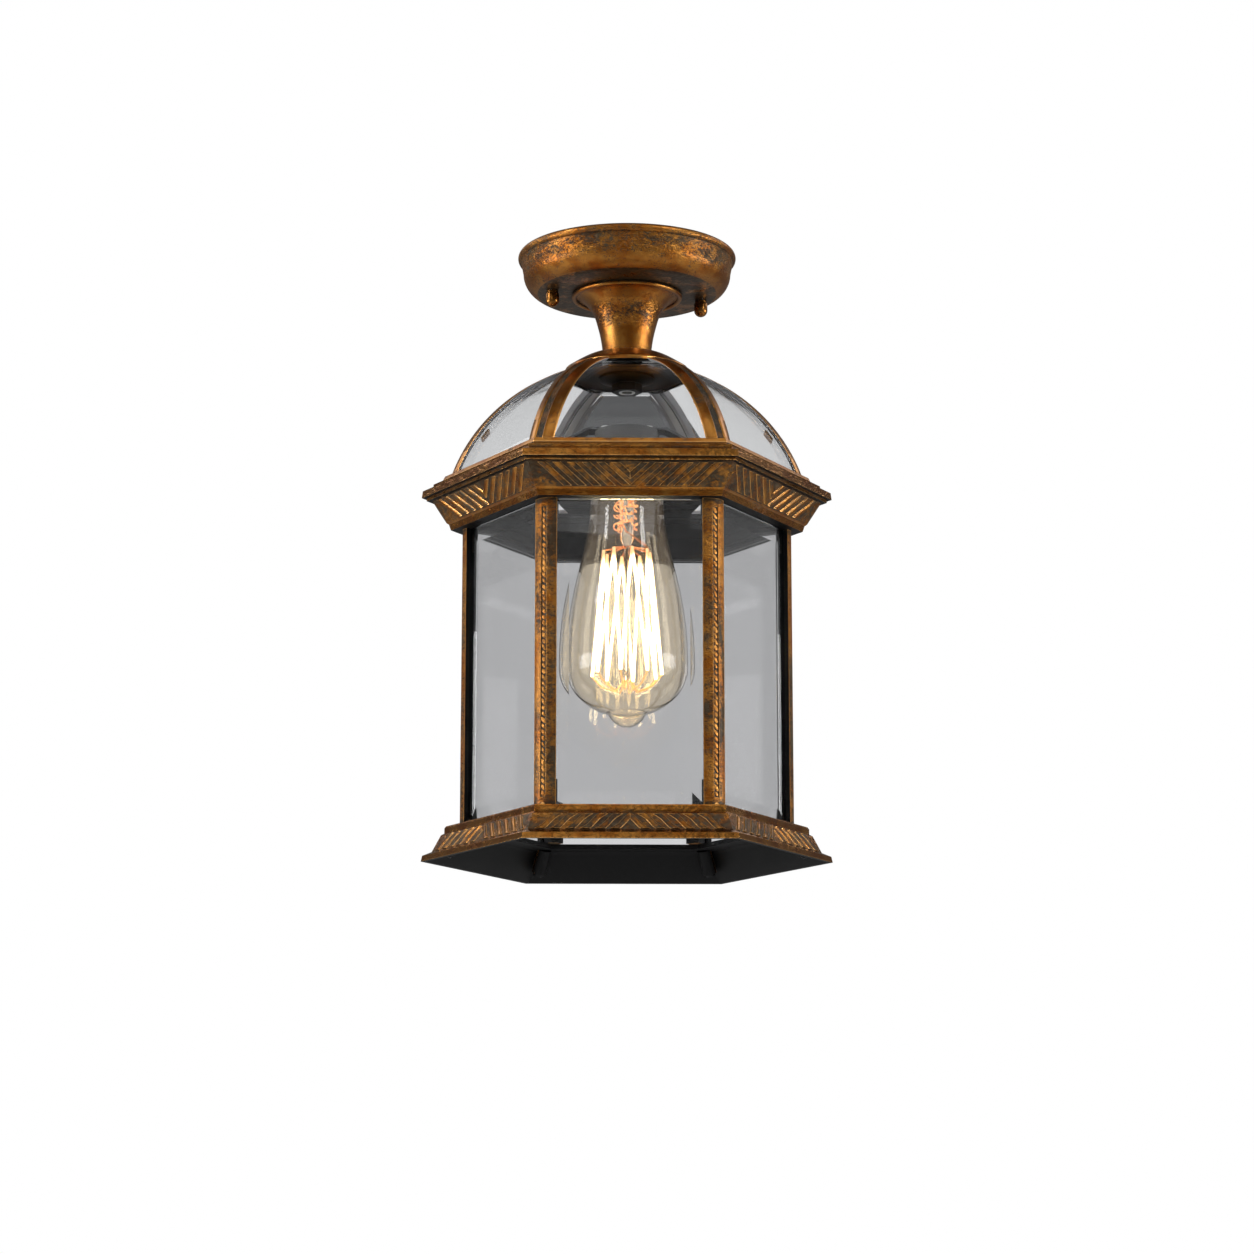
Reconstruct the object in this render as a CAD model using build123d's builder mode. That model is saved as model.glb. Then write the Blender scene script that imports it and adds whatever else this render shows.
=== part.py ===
import os
from math import acos, asin, atan, atan2, cos, degrees, hypot, radians, sin, sqrt, tan

from build123d import *

os.makedirs("parts", exist_ok=True)

# Heights of the stack, from the ceiling down
canopy_depth = 25.2
neck_height = 38.4
dome_height = 79.0
cornice_height = 30.7
post_height = 179.8
skirt_height = 21.1

# Swivel cross bars inside the canopy
bar_thickness = 2.0
box_bar_length = 106.0
box_bar_width = 22.0
box_screw_spacing = 70.0
box_slot_length = 16.0
box_slot_width = 4.6
stud_bar_length = 106.0
stud_bar_width = 18.0
stud_spacing = 93.2
stud_turn = 12.0
rivet_r = 7.0
rivet_bore_r = 5.6
rivet_flange = 2.0
rivet_flange_height = 0.8
earth_screw_r = 1.9
earth_screw_x = 24.0
earth_head_r = 3.6
earth_head_height = 2.2

# Studs and cap nuts
stud_r = 2.0
stud_locknut_width = 7.0
stud_locknut_height = 3.2
cap_nut_r = 4.1
cap_nut_length = 10.2
cap_nut_neck_r = 3.6
cap_nut_neck_height = 1.6
cap_nut_wall = 3.2
thread_clearance = 0.05
turning_gap = 0.3

# Canopy
canopy_rim_r = 66.7
canopy_rim_height = 5.0
canopy_wall_r = 63.4
canopy_corner_r = 13.0
canopy_sheet = 1.5
stud_hole_clearance = 0.6

# Neck and its nipple
flange_r = 33.8
flange_height = 1.8
neck_throat_r = 24.0
neck_throat_drop = 6.5
neck_waist_r = 17.3
neck_waist_drop = 22.0
neck_foot_r = 14.7
neck_wall = 3.2
neck_top_dir = (-1, -0.15)
neck_foot_dir = (-0.1, -1)
neck_bore_dir = (1, 1)
nipple_r = 5.0
nipple_bore_r = 3.4
nipple_top_rise = 14.0
nipple_clearance = 0.1
canopy_nut_width = 16.0
canopy_nut_height = 4.0
canopy_washer_r = 12.0
canopy_washer_height = 1.5
crown_washer_r = 17.0
crown_washer_rise = 3.0
crown_washer_sheet = 1.6
crown_nut_width = 16.0
crown_nut_height = 5.0

# Dome frame
crown_flat_r = 18.5
crown_rim_r = 38.0
crown_drop = 9.9
crown_hub_r = 30.0
crown_hub_depth = 13.4
crown_edge = 2.6
crown_swell = 0.36
dome_arc_r = 105.7
rib_foot_r = 107.7
rib_width = 8.6
rib_sheet = 2.6
rib_chamfer = 3.4
rail_height = 2.8
rail_ledge = 3.8
rail_width = 11.5
rail_chamfer = 1.4

# Dome panes and their clips
dome_glass = 3.0
dome_pane_edge = 3.0
pane_clearance = 0.4
clip_width = 9.0
clip_height = 7.0
clip_sheet = 1.0
clip_angle = 38.0
clip_gap = 0.15

# Cornice: steps out and in at the corners, and heights, from its top face down
cornice_step_out = 5.5
cornice_step_slope = 2.3
cornice_step_face = 1.7
fascia_out = 6.4
fascia_cove = 2.5
fascia_lean = 0.6
fascia_face = 4.3
bead_in = 3.0
bead_face = 1.9
frieze_in = 3.4
frieze_lean = 8.7
frieze_height = 13.5
foot_mould_in = 1.5
foot_mould_step = 1.0
foot_mould_lean = 1.2
casting_wall = 3.0
cornice_flange = 3.0
ledge_width = 10.7
ledge_height = 3.0
bridge_lug_reach = 16.0
bridge_lug_width = 16.0

# Posts
post_setback = 5.5
post_flange = 8.4
post_sheet = 2.6
post_chamfer = 3.4
post_groove_width = 3.4
post_groove_depth = 0.5
post_groove_end = 5.0
post_web_width = 4.6
post_web_reach = 3.0
post_head_height = 14.0
post_foot_height = 16.0
post_keeper_width = 8.8
post_keeper_sheet = 1.6
post_keeper_gap = 0.4
foot_plate_height = 3.4
foot_plate_reach = 8.0

# Side panes
side_glass = 3.0
side_pane_edge = 5.0
side_bevel = 9.0
side_bevel_depth = 1.0

# Skirt: steps out at the corners, and heights, from its top face down
skirt_shoulder = 6.5
skirt_bead_out = 1.0
skirt_bead_slope = 1.4
skirt_bead_face = 3.0
skirt_step_out = 2.0
skirt_step_slope = 1.0
skirt_flare = 5.4
skirt_flare_height = 10.0
lip_out = 5.6
lip_slope = 2.2
lip_lean = 0.8
boss_r = 4.4
boss_inset = 10.0
boss_top_drop = 2.3
boss_end_rise = 5.2

# Casting screws
screw_r = 1.5
screw_clearance = 0.08
screw_head_r = 3.0
screw_head_height = 2.0
cornice_screw_inset = 3.5
cornice_screw_depth = 9.0
skirt_screw_depth = 9.0

# Lampholder and its bridge
bridge_sheet = 1.5
bridge_width = 14.0
bridge_top_length = 46.0
bridge_rise = 31.0
bridge_foot = 11.0
bridge_end_gap = 3.0
bridge_wire_hole_r = 4.5
bridge_screw_r = 2.0
bridge_screw_head_r = 3.8
bridge_screw_head_height = 2.4
holder_r = 19.5
holder_rim_r = 20.5
holder_rim_height = 6.0
holder_floor = 4.0
holder_skirt = 28.8
holder_screw_spacing = 25.0
holder_screw_r = 1.8
holder_screw_depth = 3.0
holder_screw_head_r = 3.2
holder_screw_head_height = 2.0
shell_r = 14.2
shell_sheet = 0.5
shell_gap = 1.0
contact_width = 6.0
contact_foot = 6.0
contact_reach = 9.0
contact_sheet = 0.8
contact_bow = 1.6

# Lamp: heights upwards from the lower end of its cap, drops downwards
lamp_play = 0.3
cap_r = 13.2
cap_sheet = 0.4
cap_height = 23.5
insulator_top_r = 6.5
insulator_height = 2.2
lamp_contact_r = 4.6
lamp_contact_height = 1.2
glass_top_r = 12.5
glass_top_rise = 4.0
lamp_neck_r = 22.0
lamp_neck_top = 6.3
lamp_neck_bottom = 16.0
lamp_taper_r = 33.6
lamp_taper_drop = 74.0
lamp_bowl_r = 36.5
lamp_bowl_drop = 111.8
lamp_bowl_depth = 24.5
lamp_tip_r = 10.5
lamp_tip_height = 13.5
lamp_wall = 1.0
stem_gap = 0.2
stem_flare_rise = 3.0
stem_waist_r = 4.2
stem_waist_drop = 22.0
stem_rod_r = 1.8
stem_press_drop = 36.0
stem_end_drop = 121.0
stem_end_r = 2.6
hook_r = 0.4
hook_count = 8
cage_top_r = 12.5
cage_top_drop = 41.0
cage_bottom_r = 19.5
cage_bottom_drop = 117.0
filament_r = 0.4
filament_gap = 0.2

# Corner radii that several castings share
rail_outer_r = rib_foot_r + rail_ledge
rail_inner_r = rail_outer_r - rail_width

# Levels of the stack
crown_top_z = -canopy_depth - neck_height
cornice_top_z = crown_top_z - dome_height
post_top_z = cornice_top_z - cornice_height
skirt_top_z = post_top_z - post_height
skirt_bottom_z = skirt_top_z - skirt_height

# A hexagon's flats lie at this share of its corner radius
sides = 6
turn = 360 / sides
flat = cos(radians(turn / 2))
quarter = 90
front = 2 * quarter  # turns a piece made about +Y to the front


def keep(piece, name):
    piece.part.label = name
    export_step(piece.part, f"parts/{name}.step")


def copy_at(master, angle, name):
    # one copy of a master piece, turned about the lantern's axis
    with BuildPart() as piece:
        with PolarLocations(0, 1, angle):
            add(master)
    keep(piece, name)


def wedge(reach, inset=0.0, start=0.0):
    # outline of one side of the hexagon about +Y, its edges drawn in from the corner lines
    apex = inset / sin(radians(turn / 2))
    near = max(apex, start)
    near_half = (near - apex) * tan(radians(turn / 2))
    far_half = (reach - apex) * tan(radians(turn / 2))
    outline = [(far_half, reach), (-far_half, reach), (-near_half, near)]
    if near > apex:
        outline.append((near_half, near))
    return outline


def hex_ring(profile):
    # mitred ring: a profile of corner radii and heights, drawn along one side and repeated
    reach = max(r for r, z in profile)
    low = min(z for r, z in profile)
    high = max(z for r, z in profile)
    with BuildPart() as side:
        with BuildSketch(Plane.YZ):
            with BuildLine():
                Polyline(*[(r * flat, z) for r, z in profile], close=True)
            make_face()
        extrude(amount=reach, both=True)
        with BuildSketch(Plane.XY.offset(low)):
            with BuildLine():
                Polyline(*wedge(reach), close=True)
            make_face()
        extrude(amount=high - low, mode=Mode.INTERSECT)
    with BuildPart() as ring:
        with PolarLocations(0, sides):
            add(side.part)
    return ring.part


# Mounting bar: lies on the ceiling along Y, with two slots for the ceiling box
bar_low_z = -bar_thickness
with BuildPart() as mounting_bar:
    with BuildSketch(Plane.XY.offset(bar_low_z)):
        SlotOverall(box_bar_length, box_bar_width, rotation=quarter)
        Circle(rivet_r, mode=Mode.SUBTRACT)
        with Locations((0, box_screw_spacing / 2), (0, -box_screw_spacing / 2)):
            SlotOverall(box_slot_length, box_slot_width, rotation=quarter, mode=Mode.SUBTRACT)
    extrude(amount=bar_thickness)
keep(mounting_bar, "mounting_bar")

# Stud bar: swivels under the mounting bar and carries the two studs
stud_bar_low_z = bar_low_z - bar_thickness
with BuildPart() as stud_bar:
    with BuildSketch(Plane.XY.offset(stud_bar_low_z)):
        with PolarLocations(0, 1, stud_turn):
            SlotOverall(stud_bar_length, stud_bar_width)
        Circle(rivet_r, mode=Mode.SUBTRACT)
        with PolarLocations(stud_spacing / 2, 2, stud_turn):
            Circle(stud_r + thread_clearance, mode=Mode.SUBTRACT)
        with PolarLocations(earth_screw_x, 1, stud_turn):
            Circle(earth_screw_r + thread_clearance, mode=Mode.SUBTRACT)
    extrude(amount=bar_thickness)
keep(stud_bar, "stud_bar")

# Hollow rivet: joins the two bars and leaves the middle open for the supply wires
with BuildPart() as bar_rivet:
    with BuildSketch(Plane.XY.offset(stud_bar_low_z - rivet_flange_height)):
        Circle(rivet_r + rivet_flange)
        Circle(rivet_bore_r, mode=Mode.SUBTRACT)
    extrude(amount=rivet_flange_height)
    with BuildSketch(Plane.XY.offset(stud_bar_low_z)):
        Circle(rivet_r)
        Circle(rivet_bore_r, mode=Mode.SUBTRACT)
    extrude(amount=2 * bar_thickness)
keep(bar_rivet, "bar_rivet")

# Earth screw: its head stands under the stud bar
with BuildPart() as earth_screw:
    with BuildSketch(Plane.XY.offset(stud_bar_low_z)):
        with PolarLocations(earth_screw_x, 1, stud_turn):
            Circle(earth_screw_r)
    extrude(amount=bar_thickness)
    with BuildSketch(Plane.XY.offset(stud_bar_low_z - earth_head_height)):
        with PolarLocations(earth_screw_x, 1, stud_turn):
            Circle(earth_head_r)
    extrude(amount=earth_head_height)
keep(earth_screw, "earth_screw")

# Studs: hang from the stud bar through the canopy's floor into the cap nuts
cap_nut_top_z = -canopy_depth - turning_gap
cap_nut_low_z = cap_nut_top_z - cap_nut_length
stud_low_z = cap_nut_low_z + cap_nut_wall + turning_gap
with BuildPart() as bar_studs:
    with BuildSketch(Plane.XY.offset(stud_low_z)):
        with PolarLocations(stud_spacing / 2, 2, stud_turn):
            Circle(stud_r)
    extrude(amount=bar_low_z - stud_low_z)
keep(bar_studs, "bar_studs")

with BuildPart() as stud_locknuts:
    with BuildSketch(Plane.XY.offset(stud_bar_low_z - stud_locknut_height)):
        with PolarLocations(stud_spacing / 2, 2, stud_turn):
            RegularPolygon(stud_locknut_width / 2, sides, major_radius=False)
            Circle(stud_r + thread_clearance, mode=Mode.SUBTRACT)
    extrude(amount=stud_locknut_height)
keep(stud_locknuts, "stud_locknuts")

# Cap nut: long domed nut, bored for the stud, with a narrow collar at its top
with BuildPart() as cap_nut:
    with BuildSketch(Plane.XZ):
        with BuildLine():
            Polyline(
                (0, cap_nut_top_z),
                (cap_nut_neck_r, cap_nut_top_z),
                (cap_nut_neck_r, cap_nut_top_z - cap_nut_neck_height),
                (cap_nut_r, cap_nut_top_z - cap_nut_neck_height),
                (cap_nut_r, cap_nut_low_z + cap_nut_r),
            )
            RadiusArc((cap_nut_r, cap_nut_low_z + cap_nut_r), (0, cap_nut_low_z), cap_nut_r)
            Line((0, cap_nut_low_z), (0, cap_nut_top_z))
        make_face()
    revolve(axis=Axis.Z)
    with BuildSketch(Plane.XY.offset(cap_nut_low_z + cap_nut_wall)):
        Circle(stud_r + thread_clearance)
    extrude(amount=cap_nut_length - cap_nut_wall, mode=Mode.SUBTRACT)
for number in (1, 2):
    with BuildPart() as cap_nut_copy:
        with PolarLocations(stud_spacing / 2, 1, stud_turn + 180 * number):
            add(cap_nut.part)
    keep(cap_nut_copy, f"cap_nut_{number}")

# Canopy: spun cup with a rolled rim, open towards the ceiling
canopy_floor_z = -canopy_depth + canopy_sheet
with BuildPart() as canopy:
    with BuildSketch(Plane.XZ):
        with BuildLine():
            rim_low = (canopy_wall_r, -canopy_rim_height)
            corner_top = (canopy_wall_r, -canopy_depth + canopy_corner_r)
            corner_low = (canopy_wall_r - canopy_corner_r, -canopy_depth)
            inner_r = canopy_wall_r - canopy_sheet
            inner_corner_r = canopy_corner_r - canopy_sheet
            rim_half = canopy_rim_height / 2
            Line((inner_r, 0), (canopy_rim_r - rim_half, 0))
            RadiusArc((canopy_rim_r - rim_half, 0), (canopy_rim_r, -rim_half), rim_half)
            RadiusArc((canopy_rim_r, -rim_half), (canopy_rim_r - rim_half, -canopy_rim_height), rim_half)
            Polyline((canopy_rim_r - rim_half, -canopy_rim_height), rim_low, corner_top)
            RadiusArc(corner_top, corner_low, canopy_corner_r)
            Polyline(
                corner_low,
                (nipple_r + nipple_clearance, -canopy_depth),
                (nipple_r + nipple_clearance, canopy_floor_z),
                (corner_low[0], canopy_floor_z),
            )
            RadiusArc((corner_low[0], canopy_floor_z), (inner_r, corner_top[1]), -inner_corner_r)
            Line((inner_r, corner_top[1]), (inner_r, 0))
        make_face()
    revolve(axis=Axis.Z)
    with BuildSketch(Plane.XY.offset(-canopy_depth)):
        with PolarLocations(stud_spacing / 2, 2, stud_turn):
            Circle(stud_r + stud_hole_clearance)
    extrude(amount=canopy_sheet, mode=Mode.SUBTRACT)
keep(canopy, "canopy")

# Neck: trumpet casting under the canopy, hollow, with a floor that the nipple passes
neck_profile = [
    (flange_r, -canopy_depth - flange_height),
    (neck_throat_r, -canopy_depth - neck_throat_drop),
    (neck_waist_r, -canopy_depth - neck_waist_drop),
    (neck_foot_r, crown_top_z),
]
with BuildPart() as neck:
    with BuildSketch(Plane.XZ):
        with BuildLine():
            Line((flange_r, -canopy_depth), neck_profile[0])
            Line(neck_profile[0], (flange_r - flange_height, -canopy_depth - flange_height))
            Spline(
                (flange_r - flange_height, -canopy_depth - flange_height),
                *neck_profile[1:],
                tangents=(neck_top_dir, neck_foot_dir),
            )
            Polyline(
                neck_profile[3],
                (nipple_r + nipple_clearance, crown_top_z),
                (nipple_r + nipple_clearance, crown_top_z + neck_wall),
                (neck_foot_r - neck_wall, crown_top_z + neck_wall),
            )
            Spline(
                (neck_foot_r - neck_wall, crown_top_z + neck_wall),
                (neck_waist_r - neck_wall, -canopy_depth - neck_waist_drop),
                (neck_throat_r - neck_wall, -canopy_depth),
                tangents=((-neck_foot_dir[0], -neck_foot_dir[1]), neck_bore_dir),
            )
            Line((neck_throat_r - neck_wall, -canopy_depth), (flange_r, -canopy_depth))
        make_face()
    revolve(axis=Axis.Z)
keep(neck, "neck")

# Nipple and the nuts and washers that clamp canopy, neck and crown on it
nipple_top_z = canopy_floor_z + nipple_top_rise
crown_seat_z = crown_top_z - crown_hub_depth
nipple_low_z = crown_seat_z - crown_washer_rise - crown_washer_sheet - crown_nut_height
with BuildPart() as nipple:
    with BuildSketch(Plane.XY.offset(nipple_low_z)):
        Circle(nipple_r)
        Circle(nipple_bore_r, mode=Mode.SUBTRACT)
    extrude(amount=nipple_top_z - nipple_low_z)
keep(nipple, "nipple")

with BuildPart() as canopy_washer:
    with BuildSketch(Plane.XY.offset(canopy_floor_z)):
        Circle(canopy_washer_r)
        Circle(nipple_r + nipple_clearance, mode=Mode.SUBTRACT)
    extrude(amount=canopy_washer_height)
keep(canopy_washer, "canopy_washer")

with BuildPart() as canopy_nut:
    with BuildSketch(Plane.XY.offset(canopy_floor_z + canopy_washer_height)):
        RegularPolygon(canopy_nut_width / 2, sides, major_radius=False)
        Circle(nipple_r + thread_clearance, mode=Mode.SUBTRACT)
    extrude(amount=canopy_nut_height)
keep(canopy_nut, "canopy_nut")

# Dished washer: its edge bears on the crown, the nut pulls its middle up
with BuildPart() as crown_washer:
    with BuildSketch(Plane.XZ):
        with BuildLine():
            dish_low_z = crown_seat_z - crown_washer_rise
            Polyline(
                (crown_washer_r, crown_seat_z),
                (crown_washer_r - crown_washer_sheet, crown_seat_z),
                (crown_nut_width / 2 + crown_washer_sheet, dish_low_z),
                (nipple_r + nipple_clearance, dish_low_z),
                (nipple_r + nipple_clearance, dish_low_z - crown_washer_sheet),
                (crown_nut_width / 2 + crown_washer_sheet, dish_low_z - crown_washer_sheet),
                (crown_washer_r, crown_seat_z - crown_washer_sheet),
                close=True,
            )
        make_face()
    revolve(axis=Axis.Z)
keep(crown_washer, "crown_washer")

with BuildPart() as crown_nut:
    with BuildSketch(Plane.XY.offset(nipple_low_z)):
        RegularPolygon(crown_nut_width / 2, sides, major_radius=False)
        Circle(nipple_r + thread_clearance, mode=Mode.SUBTRACT)
    extrude(amount=crown_nut_height)
keep(crown_nut, "crown_nut")

# Centre of the ribs' arc, from the rib foot, the crown's rim and the arc's radius
rail_top_z = cornice_top_z + rail_height
crown_rim_z = crown_top_z - crown_drop
chord_r = crown_rim_r - rib_foot_r
chord_z = crown_rim_z - rail_top_z
half_chord = hypot(chord_r, chord_z) / 2
sagitta_leg = sqrt(dome_arc_r**2 - half_chord**2)
arc_r = (crown_rim_r + rib_foot_r) / 2 - sagitta_leg * chord_z / (2 * half_chord)
arc_z = (crown_rim_z + rail_top_z) / 2 + sagitta_leg * chord_r / (2 * half_chord)


def dome_shell(outer_r, inner_r, low_z, plan_inset, plan_start):
    # one side of the dome between two arcs about the same centre, cut to its plan
    low_out = degrees(asin((low_z - arc_z) / outer_r))
    low_in = degrees(asin((low_z - arc_z) / inner_r))
    centre = (arc_r * flat, arc_z)
    reach = arc_r + outer_r
    with BuildPart() as shell:
        with BuildSketch(Plane.YZ):
            with BuildLine():
                outer = EllipticalCenterArc(
                    centre, outer_r * flat, outer_r, low_out, arc_size=quarter - low_out
                )
                inner = EllipticalCenterArc(
                    centre, inner_r * flat, inner_r, low_in, arc_size=quarter - low_in
                )
                Line(outer @ 0, inner @ 0)
                Line(outer @ 1, inner @ 1)
            make_face()
        extrude(amount=reach, both=True)
        with BuildSketch(Plane.XY.offset(low_z)):
            with BuildLine():
                Polyline(*wedge(reach, plan_inset, plan_start), close=True)
            make_face()
        extrude(amount=arc_z + outer_r - low_z, mode=Mode.INTERSECT)
    return shell.part


# Dome frame: crown, six ribs with flat ridges and base rail in one casting
rib_shell = dome_shell(dome_arc_r, dome_arc_r - rib_sheet, cornice_top_z, 0.0, crown_hub_r * flat)
with BuildPart() as dome_side:
    add(rib_shell)
    with BuildSketch(Plane.XY.offset(rail_top_z)):
        with BuildLine():
            Polyline(*wedge(rail_outer_r, rib_width, crown_hub_r * flat), close=True)
        make_face()
    extrude(amount=dome_height, mode=Mode.SUBTRACT)


def is_ridge(edge):
    # outer edge where two sides of the dome meet
    middle = edge @ 0.5
    corner_angle = degrees(atan2(middle.Y, middle.X)) % turn
    ridge_r = hypot(hypot(middle.X, middle.Y) - arc_r, middle.Z - arc_z)
    return min(corner_angle, turn - corner_angle) < 0.01 and abs(ridge_r - dome_arc_r) < 0.01


with BuildPart() as dome_ribs:
    with PolarLocations(0, sides):
        add(dome_side.part)
    chamfer(dome_ribs.edges().filter_by(is_ridge), length=rib_chamfer)
rail = hex_ring(
    [
        (rail_inner_r, cornice_top_z),
        (rail_outer_r, cornice_top_z),
        (rail_outer_r - rail_chamfer, rail_top_z),
        (rail_inner_r, rail_top_z),
    ]
)
with BuildPart() as dome_frame:
    add(rail)
    add(dome_ribs.part)
    with BuildSketch(Plane.XZ):
        with BuildLine():
            Line((nipple_r + nipple_clearance, crown_top_z), (crown_flat_r, crown_top_z))
            ThreePointArc(
                (crown_flat_r, crown_top_z),
                ((crown_flat_r + crown_rim_r) / 2, crown_top_z - crown_drop * crown_swell),
                (crown_rim_r, crown_rim_z),
            )
            Polyline(
                (crown_rim_r, crown_rim_z),
                (crown_rim_r, crown_rim_z - crown_edge),
                (crown_hub_r, crown_rim_z - crown_edge),
                (crown_hub_r, crown_seat_z),
                (nipple_r + nipple_clearance, crown_seat_z),
                (nipple_r + nipple_clearance, crown_top_z),
            )
        make_face()
    revolve(axis=Axis.Z)
keep(dome_frame, "dome_frame")

# Dome panes: bent glass behind the ribs, standing on the rail
dome_pane_outer_r = dome_arc_r - rib_sheet
dome_pane_top = crown_rim_r * flat + pane_clearance
dome_pane = dome_shell(
    dome_pane_outer_r, dome_pane_outer_r - dome_glass, rail_top_z, dome_pane_edge, dome_pane_top
)
for number in range(1, sides + 1):
    copy_at(dome_pane, front + turn * (number - 1), f"dome_pane_{number}")

# Dome pane clips: a spring plate behind each rib that bears on the two panes beside it
pane_inner_r = dome_pane_outer_r - dome_glass
clip_depth = clip_width / 2 * tan(radians(turn / 2)) * cos(radians(clip_angle)) + clip_gap
clip_arc_r = pane_inner_r - clip_depth
clip_plane = Plane(
    origin=(
        arc_r + clip_arc_r * cos(radians(clip_angle)),
        0,
        arc_z + clip_arc_r * sin(radians(clip_angle)),
    ),
    x_dir=(0, 1, 0),
    z_dir=(-cos(radians(clip_angle)), 0, -sin(radians(clip_angle))),
)
with BuildPart() as dome_clip:
    with BuildSketch(clip_plane):
        Rectangle(clip_width, clip_height)
    extrude(amount=clip_sheet)
with BuildPart() as dome_pane_clips:
    with PolarLocations(0, sides):
        add(dome_clip.part)
keep(dome_pane_clips, "dome_pane_clips")

# Cornice: mitred moulding with a sloping frieze and an inner ledge that the posts hang from
cornice_top_inner_r = rail_inner_r - cornice_flange
step_r = rail_outer_r + cornice_step_out
step_z = cornice_top_z - cornice_step_slope
fascia_top_r = step_r + fascia_out
fascia_top_z = step_z - cornice_step_face - fascia_cove
fascia_r = fascia_top_r + fascia_lean
fascia_low_z = fascia_top_z - fascia_face
bead_r = fascia_r - bead_in
bead_low_z = fascia_low_z - bead_face
frieze_top_r = bead_r - frieze_in
frieze_low_r = frieze_top_r - frieze_lean
frieze_low_z = bead_low_z - frieze_height
foot_mould_r = frieze_low_r - foot_mould_in
foot_low_r = foot_mould_r - foot_mould_lean
post_r = foot_low_r - post_setback
ledge_inner_r = post_r - ledge_width
cornice_ring = hex_ring(
    [
        (cornice_top_inner_r, cornice_top_z),
        (rail_outer_r, cornice_top_z),
        (step_r, step_z),
        (step_r, step_z - cornice_step_face),
        (fascia_top_r, fascia_top_z),
        (fascia_r, fascia_low_z),
        (bead_r, fascia_low_z),
        (bead_r, bead_low_z),
        (frieze_top_r, bead_low_z),
        (frieze_low_r, frieze_low_z),
        (foot_mould_r, frieze_low_z - foot_mould_step),
        (foot_low_r, post_top_z),
        (ledge_inner_r, post_top_z),
        (ledge_inner_r, post_top_z + ledge_height),
        (foot_low_r - casting_wall, post_top_z + ledge_height),
        (frieze_top_r - casting_wall, bead_low_z),
        (frieze_top_r - casting_wall, cornice_top_z - casting_wall),
        (cornice_top_inner_r, cornice_top_z - casting_wall),
    ]
)
post_inner_r = post_r - post_sheet / flat
cornice_screw_r = post_inner_r - cornice_screw_inset
bridge_end_x = rail_inner_r - bridge_end_gap - bridge_width / 2 * tan(radians(turn / 2))
bridge_screw_x = bridge_end_x - bridge_foot / 2
with BuildPart() as cornice:
    add(cornice_ring)
    with BuildSketch(Plane.XY.offset(cornice_top_z - casting_wall)):
        with PolarLocations(cornice_top_inner_r - bridge_lug_reach / 2, 2):
            Rectangle(bridge_lug_reach + casting_wall, bridge_lug_width)
    extrude(amount=casting_wall)
    with BuildSketch(Plane.XY.offset(cornice_top_z - casting_wall)):
        with PolarLocations(bridge_screw_x, 2):
            Circle(bridge_screw_r + screw_clearance)
    extrude(amount=casting_wall, mode=Mode.SUBTRACT)
    with BuildSketch(Plane.XY.offset(post_top_z)):
        with PolarLocations(cornice_screw_r, sides):
            Circle(screw_r + screw_clearance)
    extrude(amount=ledge_height, mode=Mode.SUBTRACT)
keep(cornice, "cornice")

with BuildPart() as cornice_screws:
    with BuildSketch(Plane.XY.offset(post_top_z - cornice_screw_depth)):
        with PolarLocations(cornice_screw_r, sides):
            Circle(screw_r)
    extrude(amount=cornice_screw_depth + ledge_height)
    with BuildSketch(Plane.XY.offset(post_top_z + ledge_height)):
        with PolarLocations(cornice_screw_r, sides):
            Circle(screw_head_r)
    extrude(amount=screw_head_height)
keep(cornice_screws, "cornice_screws")

# Corner radii and drops of the skirt, and the axis of its leaning screw bosses
skirt_top_r = post_r + skirt_shoulder
skirt_bead_r = skirt_top_r + skirt_bead_out
skirt_bead_drop = skirt_bead_slope + skirt_bead_face
skirt_step_r = skirt_bead_r + skirt_step_out
skirt_step_drop = skirt_bead_drop + skirt_step_slope
skirt_flare_r = skirt_step_r + skirt_flare
skirt_flare_drop = skirt_step_drop + skirt_flare_height
lip_top_r = skirt_flare_r + lip_out
lip_r = lip_top_r + lip_lean
lean = atan(skirt_flare / skirt_flare_height)
boss_axis_r = skirt_step_r - boss_inset - skirt_step_drop * tan(lean)
boss_dir = (sin(lean), 0, -cos(lean))


def boss_plane(drop):
    # plane square to a boss at the given drop below the skirt's top face
    return Plane(
        origin=(boss_axis_r + drop * tan(lean), 0, skirt_top_z - drop),
        x_dir=(0, 1, 0),
        z_dir=boss_dir,
    )


# Post: angle section with a grooved flat on its ridge and a web between the panes, which carries
# a keeper at its head and its foot
pane_outer = post_r * flat - post_sheet
pane_inner = pane_outer - side_glass
along = (-sin(radians(turn / 2)), flat)
inward = (-flat, -sin(radians(turn / 2)))


def on_flange(distance, depth):
    # point of the post's plan: along a flange from the ridge, then in from its outer face
    return (
        post_r + distance * along[0] + depth * inward[0],
        distance * along[1] + depth * inward[1],
    )


def inside_pane(half_width):
    # corner radius that a keeper of this half width reaches behind the two panes
    return (pane_inner - post_keeper_gap - half_width * sin(radians(turn / 2))) / flat


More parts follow.
